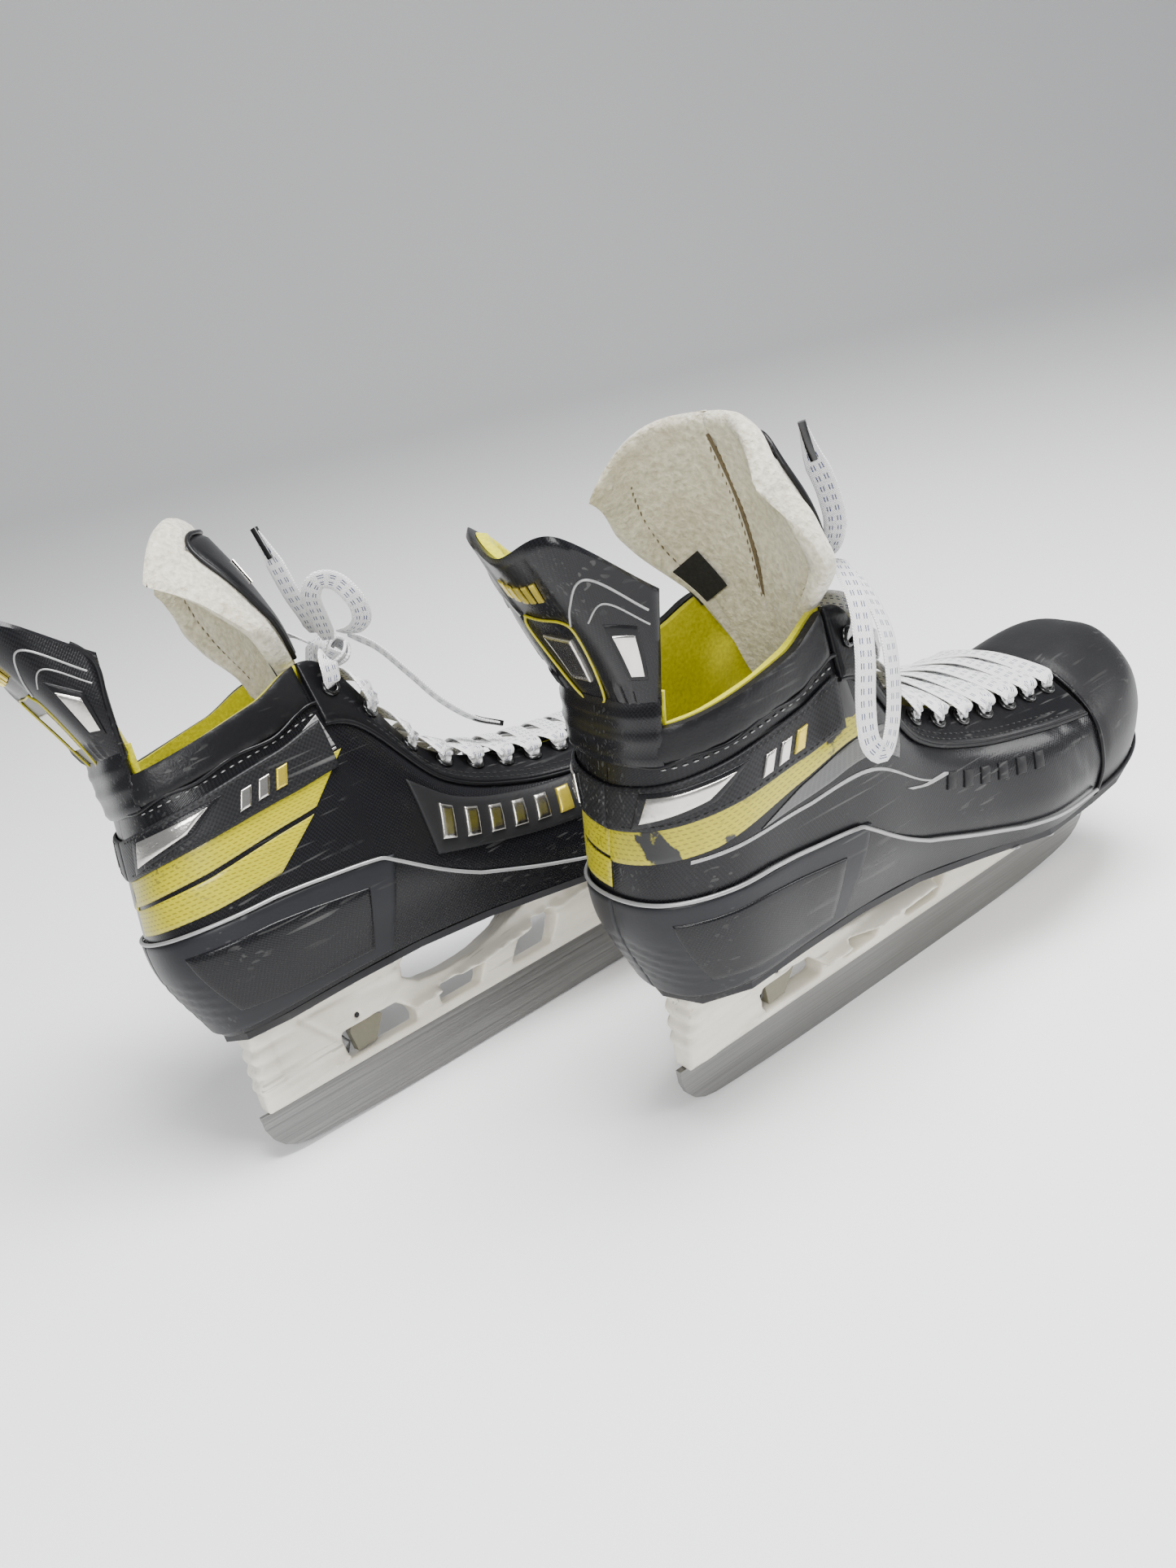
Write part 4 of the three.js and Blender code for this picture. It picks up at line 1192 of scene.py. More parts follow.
def lace_span(side, outer, inner, lift):
    """One length of lace, from an eyelet of one row over the tongue to an eyelet of the other."""
    stops = [
        lace_stop("lateral", outer, EYELET_HEIGHT, 1.4),
        lace_stop("lateral", outer, EYELET_HEIGHT + 0.015, LACE_LIFT),
        lace_stop("lateral", mix(outer, inner, 0.15), 1, LACE_LIFT + 0.6),
        None,
        lace_stop("medial", mix(inner, outer, 0.15), 1, LACE_LIFT + 0.6),
        lace_stop("medial", inner, EYELET_HEIGHT + 0.015, LACE_LIFT),
        lace_stop("medial", inner, EYELET_HEIGHT, 1.4),
    ]
    crown = stops[2][1] + stops[4][1]
    crown /= np.linalg.norm(crown)
    stops[3] = ((stops[2][0] + stops[4][0]) / 2 + crown * (3 + lift), crown)
    share = np.linspace(0, 1, 45)
    route = line_at([point for point, _ in stops], share)
    facing = line_at([normal for _, normal in stops], share)
    width = mix(5.6, LACE_WIDTH + 0.6, smoothstep(np.minimum(share, 1 - share), 0.04, 0.2))
    return tape(
        f"{side}_span_{outer}_{inner}", side, route, facing, width, offset_u=float(rng.uniform(0, 1))
    )


def lacing(side):
    spans = [lace_span(side, 0, 0, 0)]
    for number in range(EYELETS - 1):
        spans.append(lace_span(side, number, number + 1, 0))
        spans.append(lace_span(side, number + 1, number, 2 * LACE_THICKNESS))
    finish_piece(merged(spans, f"{side}_crossed_lace"), f"{side}_boot", "lace", f"{side}_lacing")


KNOT = np.array([125.0, 0, 196])


def knot(side):
    """A bow's knot: the tape wound round itself in three rings."""
    turns = np.linspace(0, 2 * math.pi, 40)
    parts = []
    for k, (tilt, size) in enumerate(((0.2, 1.0), (-0.5, 0.86), (1.2, 0.8))):
        ring = np.stack([7.2 * np.cos(turns), 3.5 * np.sin(turns * 2 + k), 7.2 * np.sin(turns)], -1) * size
        c, s = math.cos(tilt), math.sin(tilt)
        ring = ring @ np.array([[c, s, 0], [-s, c, 0], [0, 0, 1]])
        facing = ring / np.linalg.norm(ring, axis=1, keepdims=True)
        parts.append(tape(f"{side}_wrap_{k}", side, ring + KNOT, facing, 7.0, 1.6))
    finish_piece(merged(parts, f"{side}_knot_wraps"), f"{side}_boot", "lace", f"{side}_lace_knot")


for side in SIDES:
    lacing(side)
    knot(side)

# %% [markdown]
# ## Lining and padded collar
#
# The collar is foam under leatherette, rolled over the edge of the shell so that nothing hard touches the
# ankle. The lining under it is bright brushed cloth that runs down into the boot.

# %% Liner and collar pads
def liner(side):
    rib = np.linspace(0.1, 15.9, 129)[:, None]
    height = np.linspace(0, 1, 33)[None]
    lumps = 0.35 * np.sin(rib * 7) * np.sin(height * 11)
    outer = on_boot(rib, height, np.full((129, 33), -SHELL - 1.0))
    inner = on_boot(rib, height, lumps - SHELL - 3.6)
    finish_piece(wall(
        f"{side}_liner_cloth", side, outer, inner, MATERIALS["lining"]
    ), f"{side}_boot", "lining",
                 f"{side}_liner")


def collar_pad(side, flank):
    rib = np.linspace(COLLAR_FROM + 0.08, COLLAR_TO, 65)
    share = np.concatenate([np.linspace(0, 0.12, 7), np.linspace(0.16, 0.84, 18), np.linspace(0.88, 1, 7)])
    full = np.sqrt(
        np.clip(1 - (2 * share - 1) ** 4, 0, 1)
    )[None] * rounded(np.linspace(0, 1, 65), 90, 3)[:, None]
    height = mix(0.865, 1.015, share)[None] + 0 * rib[:, None]
    pull = 0.25 * np.sin(rib[:, None] * 21) * (1 - full ** 4)
    rib_grid = flank_rib(rib[:, None] + 0 * height, flank)
    outer = on_boot(rib_grid, height, -0.2 + (2.6 + pull) * full)
    inner = on_boot(rib_grid, height, -0.2 - 2.0 * full)
    pad = wall(f"{side}_collar_{flank}", side, outer, inner, MATERIALS["collar"])
    finish_piece(pad, f"{side}_boot", "collar", f"{side}_collar_pad_{flank}")
    wave = [(r, 0.866 + 0.008 * math.sin(6 * r)) for r in np.linspace(COLLAR_FROM, COLLAR_TO + 0.6, 40)]
    seam, facing = boot_line(flank, wave, 0.9, 120)
    welt = pipe(f"{side}_collar_welt_{flank}", side, seam, 0.9, MATERIALS["facing"])
    finish_piece(welt, f"{side}_boot", "collar")
    row = boot_line(flank, [(r, 0.845) for r in np.linspace(COLLAR_FROM + 0.1, COLLAR_TO, 12)], 0.25)
    stitches(f"{side}_collar_stitches_{flank}", side, [row], MATERIALS["silver"], slot="collar", pitch=4.0)


for side in SIDES:
    liner(side)
    for flank in FLANKS:
        collar_pad(side, flank)

# %% [markdown]
# ## Toe cap
#
# The toe cap is hard moulded plastic over the toes, dull from use, and butts against the quarters in a seam
# that is covered by a low welt.

# %% Toe cap
TOE_JOINT, TOE_LENGTH, TOE_HEIGHT, TOE_SPRING = 238, 62, 57, 14
TOE_CREST = (0, 0, 118)
TOE_SECTION = np.concatenate([
    RIBS[0] * [0, -1, 1], [TOE_CREST], RIBS[0][::-1] * [0, MEDIAL_WIDTH[0], 1]])


def toe_surface(turn, share, inset):
    """turn from 0 at the joint to a quarter turn at the nose, share across, both as flat arrays."""
    turned_up = 1 - np.cos(turn)
    section = line_at(TOE_SECTION, share)
    shrink = 1 - inset / 50
    width = np.clip(np.cos(turn), 0, 1) ** 0.6
    tall = 1 + 0.08 * np.sin(2 * turn) - 0.58 * turned_up ** 1.5
    return np.stack([
        TOE_JOINT + 0.4 + (TOE_LENGTH - 0.4 - inset) * np.sin(turn),
        section[:, 1] * width * shrink,
        TOE_HEIGHT + TOE_SPRING * turned_up + (section[:, 2] - TOE_HEIGHT) * tall * shrink,
    ], -1)


def toe_grid(inset, turns=49, shares=73, bumps=0.0):
    turn, share = np.meshgrid(np.linspace(0, math.pi / 2, turns), np.linspace(0, 1, shares), indexing="ij")
    grid = toe_surface(turn.ravel(), share.ravel(), inset).reshape(turns, shares, 3)
    if bumps:
        centre = np.array([TOE_JOINT, 0, 85])
        out = grid - centre
        out /= np.linalg.norm(out, axis=-1, keepdims=True)
        step = smoothstep(turn, 0.06, 0.12)
        step = step * smoothstep(share, 0.1, 0.16) * smoothstep(1 - share, 0.1, 0.16)
        grid = grid + out * (bumps * (step - 1) * 0.8)[..., None]
    return grid


def toe_cap(side):
    cap = wall(f"{side}_toe_shell", side, toe_grid(0, bumps=1.0), toe_grid(2.6), MATERIALS["toe_cap"])
    finish_piece(cap, f"{side}_boot", "toe_cap", f"{side}_toe_cap")
    joint = toe_surface(np.full(90, 0.004), np.linspace(0.02, 0.98, 90), -0.4)
    finish_piece(pipe(f"{side}_toe_welt", side, joint, 1.0, MATERIALS["facing"]), f"{side}_boot", "toe_cap")
    sole_line = np.concatenate([
        toe_surface(np.linspace(0, math.pi / 2 - 0.05, 40), np.full(40, 0.015), -0.2),
        toe_surface(np.linspace(math.pi / 2 - 0.05, 0, 40), np.full(40, 0.985), -0.2)])
    finish_piece(
        pipe(f"{side}_toe_rand", side, sole_line, 0.9, MATERIALS["sole"]), f"{side}_boot", "toe_cap"
    )


for side in SIDES:
    toe_cap(side)

# %% [markdown]
# ## Tongue
#
# The tongue is one thick piece of pressed felt from the toes to the shin. Its border is turned over and
# sewn, so it is rounder there, and a channel runs inside the stitching. Below the laces it lies flat on the
# foot, above them it opens into a trough. A black cover protects its outside.

# %% Tongue
TONGUE_RISE = 84
TONGUE_PATH = np.array([
    (228, 106, 13), (196, 108, 14), (160, 117, 15), (131, 134, 17), (112, 163, 20), (104, 185, 22)], float)


def tongue_lower(share, across):
    """Points and outward directions of the tongue under the laces."""
    read = line_at(TONGUE_PATH, share)
    ahead = line_at(
        TONGUE_PATH, np.minimum(share + 0.01, 1)
    ) - line_at(TONGUE_PATH, np.maximum(share - 0.01, 0))
    outward = np.stack([ahead[:, 1], 0 * share, -ahead[:, 0]], -1)
    outward /= np.linalg.norm(outward, axis=1, keepdims=True)
    middle = np.stack([read[:, 0], 0 * share, read[:, 1]], -1)
    points = middle[:, None] + across[None, :, None] * [0, 1, 0] * read[:, 2][:, None, None]
    return points - outward[:, None] * (3 * across ** 2)[None, :, None], outward[:, None] + 0 * points


def tongue_upper(up, across):
    up, across = up[:, None], across[None, :]
    half = (27 + 23 * smoothstep(up, 0.0, 0.4)) * (1 - 0.26 * smoothstep(up, 0.5, 1.0))
    hollow = mix(9, 21, smoothstep(up, 0, 0.6)) * across ** 2
    x = TONGUE_HINGE[0] + 1 - 19 * up + 5 * np.sin(math.pi * up) - hollow + 11 * across * up
    z = TONGUE_HINGE[1] + TONGUE_RISE * up - 26 * np.abs(across) ** 4 * up ** 2
    points = np.stack([x, half * across, z], -1)
    inward = np.stack([np.ones_like(x), half * across / 80, 0 * x], -1)
    return points, inward


def tongue(side):
    border = np.array([0, 0.01, 0.03, 0.06, 0.1, 0.14, 0.17, 0.2, 0.23])
    across = np.concatenate([border, np.linspace(0.27, 0.73, 23), 1 - border[::-1]]) * 2 - 1
    below, above = np.linspace(0, 0.94, 30), 1 - np.concatenate(
        [np.linspace(0.96, 0.24, 22), border[::-1]]
    )
    one, out_one = tongue_lower(below, across)
    two, out_two = tongue_upper(above, across)
    face, outward = np.concatenate([one, two]), np.concatenate([out_one, out_two])
    up = np.concatenate([np.zeros(30), above])[:, None]
    reach = np.minimum((1 - np.abs(across))[None] * 50, (1 - up) * 84)
    full = np.sqrt(np.clip(1 - (1 - np.clip(reach / 7, 0, 1)) ** 2, 0, 1))
    sewn = np.exp(-((reach - 10.5) / 1.3) ** 2) * (up > 0.02)
    thick = 4.0 * full * (1 + 0.14 * np.exp(-((reach - 5) / 3) ** 2)) - 2.3 * sewn
    seam = 1.6 * np.exp(-(across[None] * 50 / 1.8) ** 2) * smoothstep(up, 0.02, 0.1)
    lumps = 0.35 * np.sin(up * 17 + across[None] * 5) * np.sin(across[None] * 9 - up * 7) * full
    front = face - outward * (4.0 - thick - lumps)[..., None]
    back = face - outward * (4.0 + thick - lumps - seam)[..., None]
    felt = wall(f"{side}_tongue_felt", side, front, back, MATERIALS["felt"])
    hinge = place(
        [(TONGUE_HINGE[0] - 2, 0, TONGUE_HINGE[1] - 9), (TONGUE_HINGE[0] - 2, 0, TONGUE_HINGE[1] + 9)],
        side
    )
    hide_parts(f"{side}_tongue_lower", f"{side}_tongue_upper")
    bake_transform(felt)
    return across


def tongue_line(points, depth):
    """A line on the upper tongue through (across, up) points, and the direction out of its face."""
    points = line_at(np.array(points, float), np.linspace(0, 1, 70))
    found, facing = [], []
    for a, u in points:
        spot, out = tongue_upper(np.array([u]), np.array([a]))
        direction = out[0, 0] / np.linalg.norm(out[0, 0])
        found.append(spot[0, 0] - out[0, 0] * depth)
        facing.append(direction if depth < 4 else -direction)
    return np.array(found), np.array(facing)


def tongue_cover(side):
    across = np.linspace(-0.72, 0.72, 33)
    up = np.linspace(0.14, 0.88, 31)
    points, outward = tongue_upper(up, across)
    full = np.minimum(
        rounded(np.linspace(0, 1, 31), 60, 1.2)[:, None], rounded(np.linspace(0, 1, 33), 70, 1.2)[None]
    )
    outer = points + outward * (0.5 + 1.5 * full)[..., None]
    inner = points + outward * (0.3 + 0 * full)[..., None]
    cover = wall(f"{side}_tongue_cover_leather", side, outer, inner, MATERIALS["facing"])
    finish_piece(cover, f"{side}_tongue", "facing", f"{side}_tongue_cover")
    rim = [
        (-0.72, 0.14), (-0.73, 0.5), (-0.7, 0.86), (-0.3, 0.89), (0.3, 0.89), (0.7, 0.86), (0.73, 0.5),
        (0.72, 0.14)
    ]
    route, _ = tongue_line(rim, -0.9)
    finish_piece(
        pipe(f"{side}_tongue_piping", side, route, 1.1, MATERIALS["collar"]), f"{side}_tongue", "facing"
    )
    for k in range(3):
        low, high = tongue_upper(
            np.array([0.56, 0.7]), np.array([-0.32 + 0.2 * k, -0.22 + 0.2 * k])
        )[0][[0, 1], [0, 1]]
        bar = np.linspace(low, high, 8) + [2.2, 0, 0]
        facing = np.tile([1.0, 0, 0], (8, 1))
        badge = tape(
            f"{side}_tongue_bar_{k}", side, bar, facing, 4.0, 0.9,
            MATERIALS["gold" if k == 2 else "chrome"]
        )
        finish_piece(badge, f"{side}_tongue", "trim")


def tongue_sewing(side):
    half_line = [(-0.79, 0.12), (-0.79, 0.5), (-0.78, 0.78), (-0.66, 0.865), (-0.35, 0.875)]
    u_line = half_line + [(0, 0.875)] + [(-a, u) for a, u in half_line[::-1]]
    rows = [tongue_line(u_line, 6.5), tongue_line([(-0.035, 0.1), (-0.035, 0.86)], 7.5),
            tongue_line([(0.035, 0.1), (0.035, 0.86)], 7.5)]
    stitches(f"{side}_tongue_stitches", side, rows, MATERIALS["seam"], f"{side}_tongue", "felt", pitch=3.6)
    spot, out = tongue_upper(np.linspace(0.12, 0.9, 40), np.array([0.0]))
    fold = tape(
        f"{side}_tongue_fold", side, spot[:, 0] - out[:, 0] * 7.0, -out[:, 0], 1.8, 0.7, MATERIALS["seam"]
    )
    finish_piece(fold, f"{side}_tongue", "felt")
    spot, out = tongue_upper(np.linspace(0.12, 0.3, 8), np.array([-0.7]))
    strip = spot[:, 0] - out[:, 0] * 8.9
    label = tape(f"{side}_care_label", side, strip, -out[:, 0], 16.0, 0.7, MATERIALS["label"])
    finish_piece(label, f"{side}_tongue", "facing")


for side in SIDES:
    tongue(side)
    tongue_cover(side)
    tongue_sewing(side)

# %% [markdown]
# ## Tendon guard
#
# The guard behind the ankle is thin moulded plastic that flexes backwards when the skater points the toes.
# Its rim is rolled for stiffness and its inside is lined like the boot.

# %% Tendon guard
GUARD = np.array([
    [(17, 29, 187), (13, 18, 185), (12, 0, 184)],
    [(19, 33, 207), (3, 24, 214), (1, 0, 214)],
    [(22, 35, 228), (-9, 26, 254), (-17, 0, 247)],
], float)
GUARD_RAILS = np.concatenate([GUARD * [1, -1, 1], GUARD[:, :2][:, ::-1]], axis=1).transpose(1, 0, 2)


def guard_at(around, up):
    around, up = np.broadcast_arrays(np.asarray(around, float), np.asarray(up, float))
    columns = spline(GUARD_RAILS, np.tile(around.ravel(), (3, 1)))
    return spline(columns, up.reshape(-1, 1))[:, 0].reshape(*around.shape, 3)


def guard_normal(around, up):
    step = 0.01
    along = guard_at(np.minimum(around + step, 1), up) - guard_at(np.maximum(around - step, 0), up)
    rise = guard_at(around, np.minimum(up + step, 1)) - guard_at(around, np.maximum(up - step, 0))
    normal = np.cross(rise, along)
    return normal / np.linalg.norm(normal, axis=-1, keepdims=True)


def on_guard(around, up, offset):
    return guard_at(around, up) + guard_normal(around, up) * np.asarray(offset, float)[..., None]


def guard_patch(name, side, low, high, base, top, material, edge=0.6):
    low, high = np.array(low, float), np.array(high, float)
    u, v = edge_samples(20, edge, 1.5), edge_samples(14, edge, 1.5)
    at = np.linspace(0, 1, len(low))
    ends = [np.stack([np.interp(u, at, line[:, k]) for k in (0, 1)], -1)[:, None] for line in (low, high)]
    spot = mix(ends[0], ends[1], v[None, :, None])
    full = np.minimum(rounded(u, 20, edge)[:, None], rounded(v, 14, edge)[None])
    outer = on_guard(spot[..., 0], spot[..., 1], mix(base, top, full))
    inner = on_guard(spot[..., 0], spot[..., 1], np.full_like(full, base - 0.1))
    return wall(name, side, outer, inner, material)


def guard_line(points, offset, steps=60):
    path = line_at(np.array(points, float), np.linspace(0, 1, steps))
    return on_guard(path[:, 0], path[:, 1], np.full(steps, float(offset)))


# Each line's (around, up) points, its finish and its radius: two chevrons on each side, and the rear panel.
GUARD_LINES = (
    ([(0.04, 0.8), (0.2, 0.84), (0.31, 0.7), (0.36, 0.6)], "silver", 0.45),
    ([(0.96, 0.8), (0.8, 0.84), (0.69, 0.7), (0.64, 0.6)], "silver", 0.45),
    ([(0.04, 0.7), (0.17, 0.74), (0.27, 0.62)], "silver", 0.35),
    ([(0.96, 0.7), (0.83, 0.74), (0.73, 0.62)], "silver", 0.35),
    ([(0.4, 0.62), (0.36, 0.5), (0.4, 0.1), (0.5, 0.05), (0.6, 0.1), (0.64, 0.5), (0.6, 0.62), (0.4, 0.62)],
     "stripe", 0.5),
)


def tendon_guard(side):
    body = f"{side}_tendon"
    around, up = np.linspace(0, 1, 65)[:, None], np.linspace(0, 1, 41)[None]
    full = np.minimum(rounded(around, 110, 1.3), rounded(up, 62, 1.3))
    panel = smoothstep(np.abs(around - 0.5), 0.12, 0.14) * 0.5
    ribs = 0.8 * np.maximum(0, np.sin(around * 2 * math.pi * 16))
    ribs = ribs * smoothstep(0.24 - up, 0, 0.06) * smoothstep(up, 0.05, 0.1)
    ribs = ribs * (np.abs(around - 0.24) < 0.09) + ribs * (np.abs(around - 0.76) < 0.09)
    outer = on_guard(around + 0 * up, up + 0 * around, -1.3 + 1.3 * full + panel * full + ribs)
    inner = on_guard(around + 0 * up, up + 0 * around, -1.3 - 1.3 * full)
    shell = wall(f"{side}_tendon_shell", side, outer, inner, MATERIALS["shell"])
    finish_piece(shell, body, "shell", f"{side}_tendon_guard")
    full = np.minimum(rounded(around, 110, 3), rounded(up, 62, 3))
    quilt = 0.5 * np.sin(around * math.pi * 9) ** 2
    spread = mix(0.02, 0.98, around) + 0 * up, mix(0.03, 0.965, up) + 0 * around
    cloth_out = on_guard(*spread, -2.9 + 0 * full)
    cloth_in = on_guard(*spread, -3.0 - (3.0 + quilt) * full)
    lining = wall(f"{side}_tendon_cloth", side, cloth_out, cloth_in, MATERIALS["lining"])
    finish_piece(lining, body, "lining", f"{side}_tendon_lining")
    edge = [(0.01, 0.02), (0.012, 0.5), (0.03, 0.975), (0.27, 0.985), (0.5, 0.985), (0.73, 0.985),
            (0.97, 0.975), (0.988, 0.5), (0.99, 0.02)]
    rim = guard_line(edge, 0.1, 160)
    finish_piece(pipe(f"{side}_tendon_rim", side, rim, 1.1, MATERIALS["facing"]), body, "shell")
    trims = []
    for k, (points, finish, radius) in enumerate(GUARD_LINES):
        line = guard_line(points, 0.55)
        trims.append(pipe(f"{side}_guard_line_{k}", side, line, radius, MATERIALS[finish], 8))
    for k, middle in enumerate((0.13, 0.87)):
        lean = 0.02 if middle < 0.5 else -0.02
        low = [(middle - 0.055, 0.26), (middle + 0.055, 0.26)]
        high = [(middle - 0.065 + lean, 0.62), (middle + 0.065 + lean, 0.66)]
        name = f"{side}_guard_insert_frame_{k}"
        trims.append(guard_patch(name, side, low, high, 0.3, 1.2, MATERIALS["facing"]))
        low = [(middle - 0.035, 0.3), (middle + 0.035, 0.3)]
        high = [(middle - 0.045 + lean, 0.57), (middle + 0.045 + lean, 0.6)]
        name = f"{side}_guard_insert_{k}"
        trims.append(guard_patch(name, side, low, high, 1.0, 1.8, MATERIALS["chrome"]))
    low, high = [(0.44, 0.2), (0.56, 0.2)], [(0.42, 0.5), (0.58, 0.5)]
    trims.append(guard_patch(f"{side}_guard_centre", side, low, high, 0.05, 0.9, MATERIALS["chrome"]))
    for k in range(5):
        middle = 0.40 + 0.042 * k
        trims.append(guard_patch(f"{side}_guard_mark_{k}", side, [(middle, 0.74), (middle + 0.024, 0.74)],
                                  [(middle + 0.012, 0.84), (middle + 0.036, 0.84)], 0.3, 0.9,
                                  MATERIALS["gold"], 0.4))
    finish_piece(merged(trims, f"{side}_guard_trim"), body, "trim")


def heel_tab(side, label, offsets, margins, finish):
    """The living hinge below the guard: from the boot's back up to the guard's lower edge."""
    outer, inner = offsets
    low, high = margins
    across = np.linspace(0, 1, 49)
    up = np.linspace(0, 1, 15)[None, :, None]
    rib = mix(6.95, 9.05, across)
    full = np.minimum(rounded(across, 60, 1.5), 1)
    ridge = 0.6 * np.maximum(0, np.sin(up[..., 0] * math.pi * 6)) * (outer > 0)
    grids = []
    for offset in (outer, inner):
        bottom = on_boot(rib, np.full(49, low), np.full(49, float(offset)))[:, None]
        top = on_guard(
            across, np.full(49, high), np.full(49, float(offset - 1.2 if offset > 0 else offset))
        )[:, None]
        grid = mix(bottom, top, up)
        if offset == outer:
            push = boot_normal(rib, np.full(49, 0.9))[:, None]
            grid = grid + push * (ridge + 0.8 * full[:, None] * np.sin(math.pi * up[..., 0]))[..., None]
        grids.append(grid)
    tab = wall(f"{side}_heel_{label}", side, grids[0], grids[1], MATERIALS[finish])
    hinge = place([(14, 0, 176), (14, 0, 188)], side)
    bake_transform(tab)


for side in SIDES:
    tendon_guard(side)
    heel_tab(side, "tab", (1.4, -0.6), (0.86, 0.08), "shell")
    heel_tab(side, "tab_lining", (-3.4, -5.0), (0.95, 0.1), "lining")

# %% [markdown]
# ## Holder, runner and trigger
#
# The holder is one injection moulding: two towers, a bridge with windows and a slot for the steel. Every
# edge of a moulding is a little round, so the engineering solid is remeshed finely and smoothed, then its
# rear tower gets the scalloped ribs that the real one has. The steel only gets small chamfers, because a
# blade is ground flat.

# %% Hard parts made from the engineering solids
def copied(node, name, material):
    mesh = frame["nodes"][node].data.copy()
    mesh.name = name
    mesh.materials.clear()
    mesh.materials.append(material)
    found = bpy.data.objects.new(name, mesh)
    bpy.context.scene.collection.objects.link(found)
    return found


def bake(found):
    """Applies the modifiers of an object."""
    made = bpy.data.meshes.new_from_object(found.evaluated_get(bpy.context.evaluated_depsgraph_get()))
    made.name = found.name
    found.modifiers.clear()
    found.data = made


HOLDER_LINES = (
    ((42, 54), (60, 31)), ((60, 31), (96, 50)), ((42, 54), (92, 55)), ((236, 53), (262, 32)),
    ((262, 32), (272, 52)),
)  # the embossed panel lines on both flanks, as x and z of their ends


def blade_holder(side):
    holder = copied(f"{side}_blade_holder", f"{side}_holder_moulding", MATERIALS["holder"])
    remesh = holder.modifiers.new("fine", "REMESH")
    remesh.mode = "VOXEL"
    remesh.voxel_size = 0.0011
    smooth = holder.modifiers.new("round", "SMOOTH")
    smooth.iterations = 4
    bake(holder)
    points = np.array([v.co for v in holder.data.vertices])
    local = unplace(points, side)
    rear = smoothstep(30 - local[:, 0], 0, 9)
    rear = rear * smoothstep(local[:, 2], 28, 33) * smoothstep(56 - local[:, 2], 0, 4)
    scallop = np.abs(np.sin(math.pi * (local[:, 2] - 30) / 7))
    local[:, 0] -= 1.6 * rear * (scallop - 0.5)
    half = np.abs(local[:, 1])
    side_rear = smoothstep(44 - local[:, 0], 0, 16)
    side_rear = side_rear * smoothstep(local[:, 2], 28, 33) * smoothstep(58 - local[:, 2], 0, 4)
    local[:, 1] -= np.sign(local[:, 1]) * 1.3 * side_rear * (1 - scallop ** 0.6) * (half > 2.5)
    for start, end in HOLDER_LINES:
        line = np.array(end, float) - start
        share = np.clip(((local[:, [0, 2]] - start) @ line) / (line @ line), 0, 1)
        away = np.linalg.norm(local[:, [0, 2]] - start - share[:, None] * line, axis=1)
        local[:, 1] -= np.sign(local[:, 1]) * 0.9 * np.exp(-(away / 1.1) ** 2) * (half > 3)
    inside = smoothstep(local[:, 0], 26, 28) * smoothstep(50 - local[:, 0] + 0.5 * (local[:, 2] - 30), 0, 2)
    inside *= smoothstep(local[:, 2], 29, 31) * smoothstep(56 - local[:, 2], 0, 2)
    local[:, 1] -= np.sign(local[:, 1]) * 0.5 * inside * (half > 3)
    holder.data.vertices.foreach_set("co", place(local, side).ravel())
    holder.data.polygons.foreach_set("use_smooth", [True] * len(holder.data.polygons))
    finish_piece(holder, f"{side}_boot", "holder_plastic", f"{side}_blade_holder")
    print(holder.name, len(holder.data.polygons), "faces")


def runner(side):
    steel = copied(f"{side}_runner", f"{side}_runner_steel", MATERIALS["steel"])
    bevel = steel.modifiers.new("chamfer", "BEVEL")
    bevel.width = 0.0003
    bevel.segments = 2
    bevel.limit_method = "ANGLE"
    bake(steel)
    finish_piece(steel, f"{side}_runner", "steel", f"{side}_runner")


def small_parts(side):
    for node, finish, slot, body in (
        ("blade_trigger", "trigger", "trigger_plastic", "trigger"),
        ("trigger_pin", "dark_metal", "dark_metal", "boot"),
        ("trigger_spring", "dark_metal", "dark_metal", "boot"), ("outsole", "sole", "sole", "boot"),
        ("footbed", "footbed", "footbed", "boot"),
    ):
        part = copied(f"{side}_{node}", f"{side}_{node}_made", MATERIALS[finish])
        bevel = part.modifiers.new("edges", "BEVEL")
        bevel.width = 0.0001 if "spring" in node else 0.0005
        bevel.segments = 2
        bevel.limit_method = "ANGLE"
        bake(part)
        finish_piece(part, f"{side}_{body}", slot, f"{side}_{node}")


RIVET_X = (24, 44, 64, 84, 186, 206, 226, 248, 268)


def sole_edge(x):
    """Height of the sole's edge and its half width at x, from the lowest points of the ribs."""
    foot = RIBS[::-1, 0]
    toe = toe_surface(np.linspace(0, math.pi / 2, 20), np.full(20, 1.0), 0)
    line = np.concatenate([foot, toe[1:] * [1, 1, 1]])
    return np.interp(x, line[:, 0], line[:, 2]), np.interp(x, line[:, 0], line[:, 1])


def rivets(side):
    dome = lathe("rivet", [(0, 0.9), (1.6, 0.8), (2.6, 0.3), (2.8, -0.3), (0, -0.3)], 14)
    points, facing = [], []
    for x in RIVET_X:
        z, half = sole_edge(x)
        for flank_sign in (-1, 1):
            points.append((x, flank_sign * (half - 5.0), z - 3.6))
            facing.append((0, 0, -1))
    along = np.tile([1.0, 0, 0], (len(points), 1))
    repeat(f"{side}_rivets", side, points, facing, along, dome, MATERIALS["silver"], slot="dark_metal")


for side in SIDES:
    blade_holder(side)
    runner(side)
    small_parts(side)
    rivets(side)

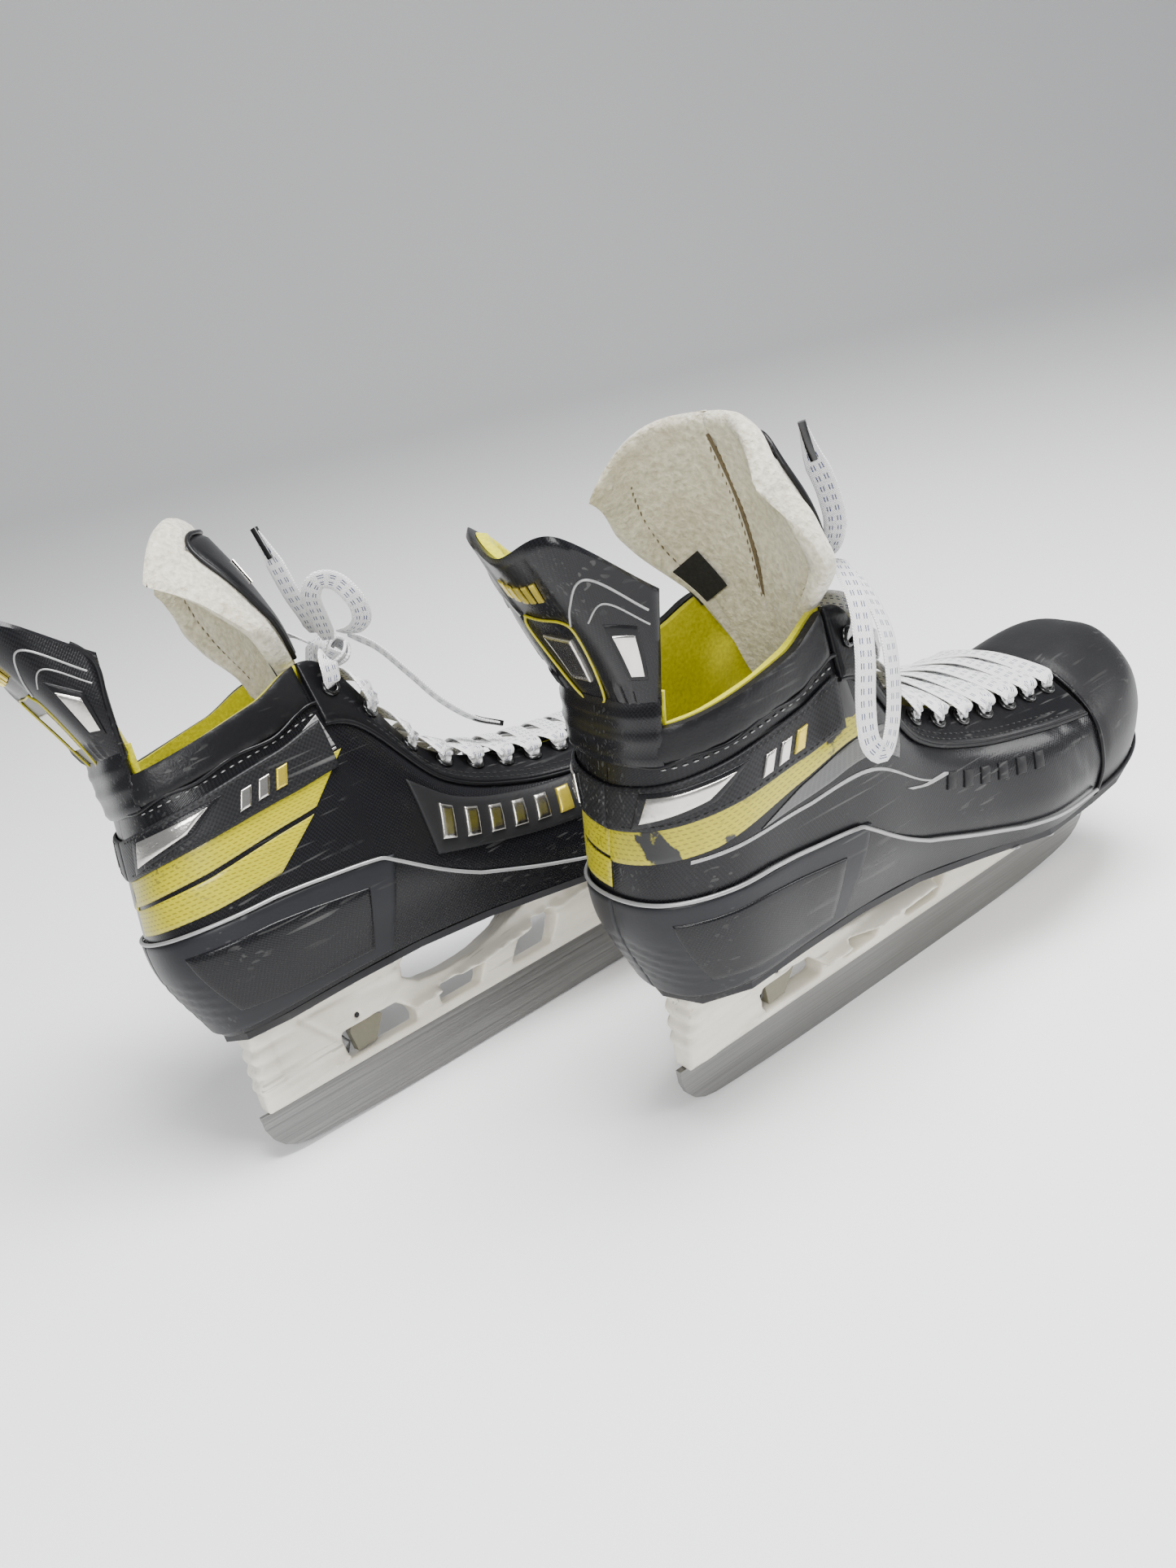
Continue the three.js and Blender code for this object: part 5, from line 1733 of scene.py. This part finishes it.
# %% [markdown]
# ## Floor and light
#
# A plain pale floor and large soft lights: one from above and in front of the pair, one from behind the
# camera, and a low one to draw bright lines along the black edges.

# %% Floor, lights and world
BACKDROP_REACH, BACKDROP_ROUND = 2.2, 1.2  # how far the floor runs, and the radius it turns up with


def make_stage():
    """A floor that turns up into a wall far behind the pair, so that no horizon shows."""
    turn = np.linspace(0, math.pi / 2, 24)
    profile = [(-6.0, 0.0)] + [
        (BACKDROP_REACH + BACKDROP_ROUND * math.sin(a), BACKDROP_ROUND * (1 - math.cos(a))) for a in turn
    ]
    profile.append((BACKDROP_REACH + BACKDROP_ROUND, 7.0))
    ahead = Vector((-math.sin(CAMERA_AZIMUTH), math.cos(CAMERA_AZIMUTH), 0))
    aside = Vector((ahead.y, -ahead.x, 0))
    points = [
        ahead * reach + aside * way + Vector((0, 0, rise - 0.0002)) for way in (-7, 7) for reach,
        rise in profile
    ]
    pale, tree, shader = new_material("floor", 0.85)
    spot = add(tree, "ShaderNodeTexCoord").outputs["Object"]
    tone = blend_colour(tree, noise(tree, spot, 3.0), (0.93, 0.93, 0.93, 1), (0.96, 0.96, 0.96, 1))
    tree.links.new(tone, shader.inputs["Base Color"])
    floor = mesh_object("floor", [tuple(p) for p in points], grid_faces(2, len(profile)), pale)
    world = bpy.data.worlds.new("world")
    bpy.context.scene.world = world
    world.use_nodes = True
    world.node_tree.nodes["Background"].inputs[0].default_value = (0.95, 0.97, 1, 1)
    world.node_tree.nodes["Background"].inputs[1].default_value = 0.42


def area_light(name, spot, target, size, power):
    light = bpy.data.lights.new(name, "AREA")
    light.size = size
    light.energy = power
    lamp = bpy.data.objects.new(name, light)
    bpy.context.scene.collection.objects.link(lamp)
    lamp.location = spot
    lamp.rotation_euler = (Vector(target) - Vector(spot)).to_track_quat("-Z", "Y").to_euler()


make_stage()
area_light("above", (0.1, -0.2, 1.3), (0, 0, 0.1), 0.7, 40)
area_light("behind_camera", (-0.8, -0.9, 0.8), (0, 0, 0.12), 0.5, 13)
area_light("edge", (0.8, -0.9, 0.5), (0, 0, 0.15), 0.4, 7)
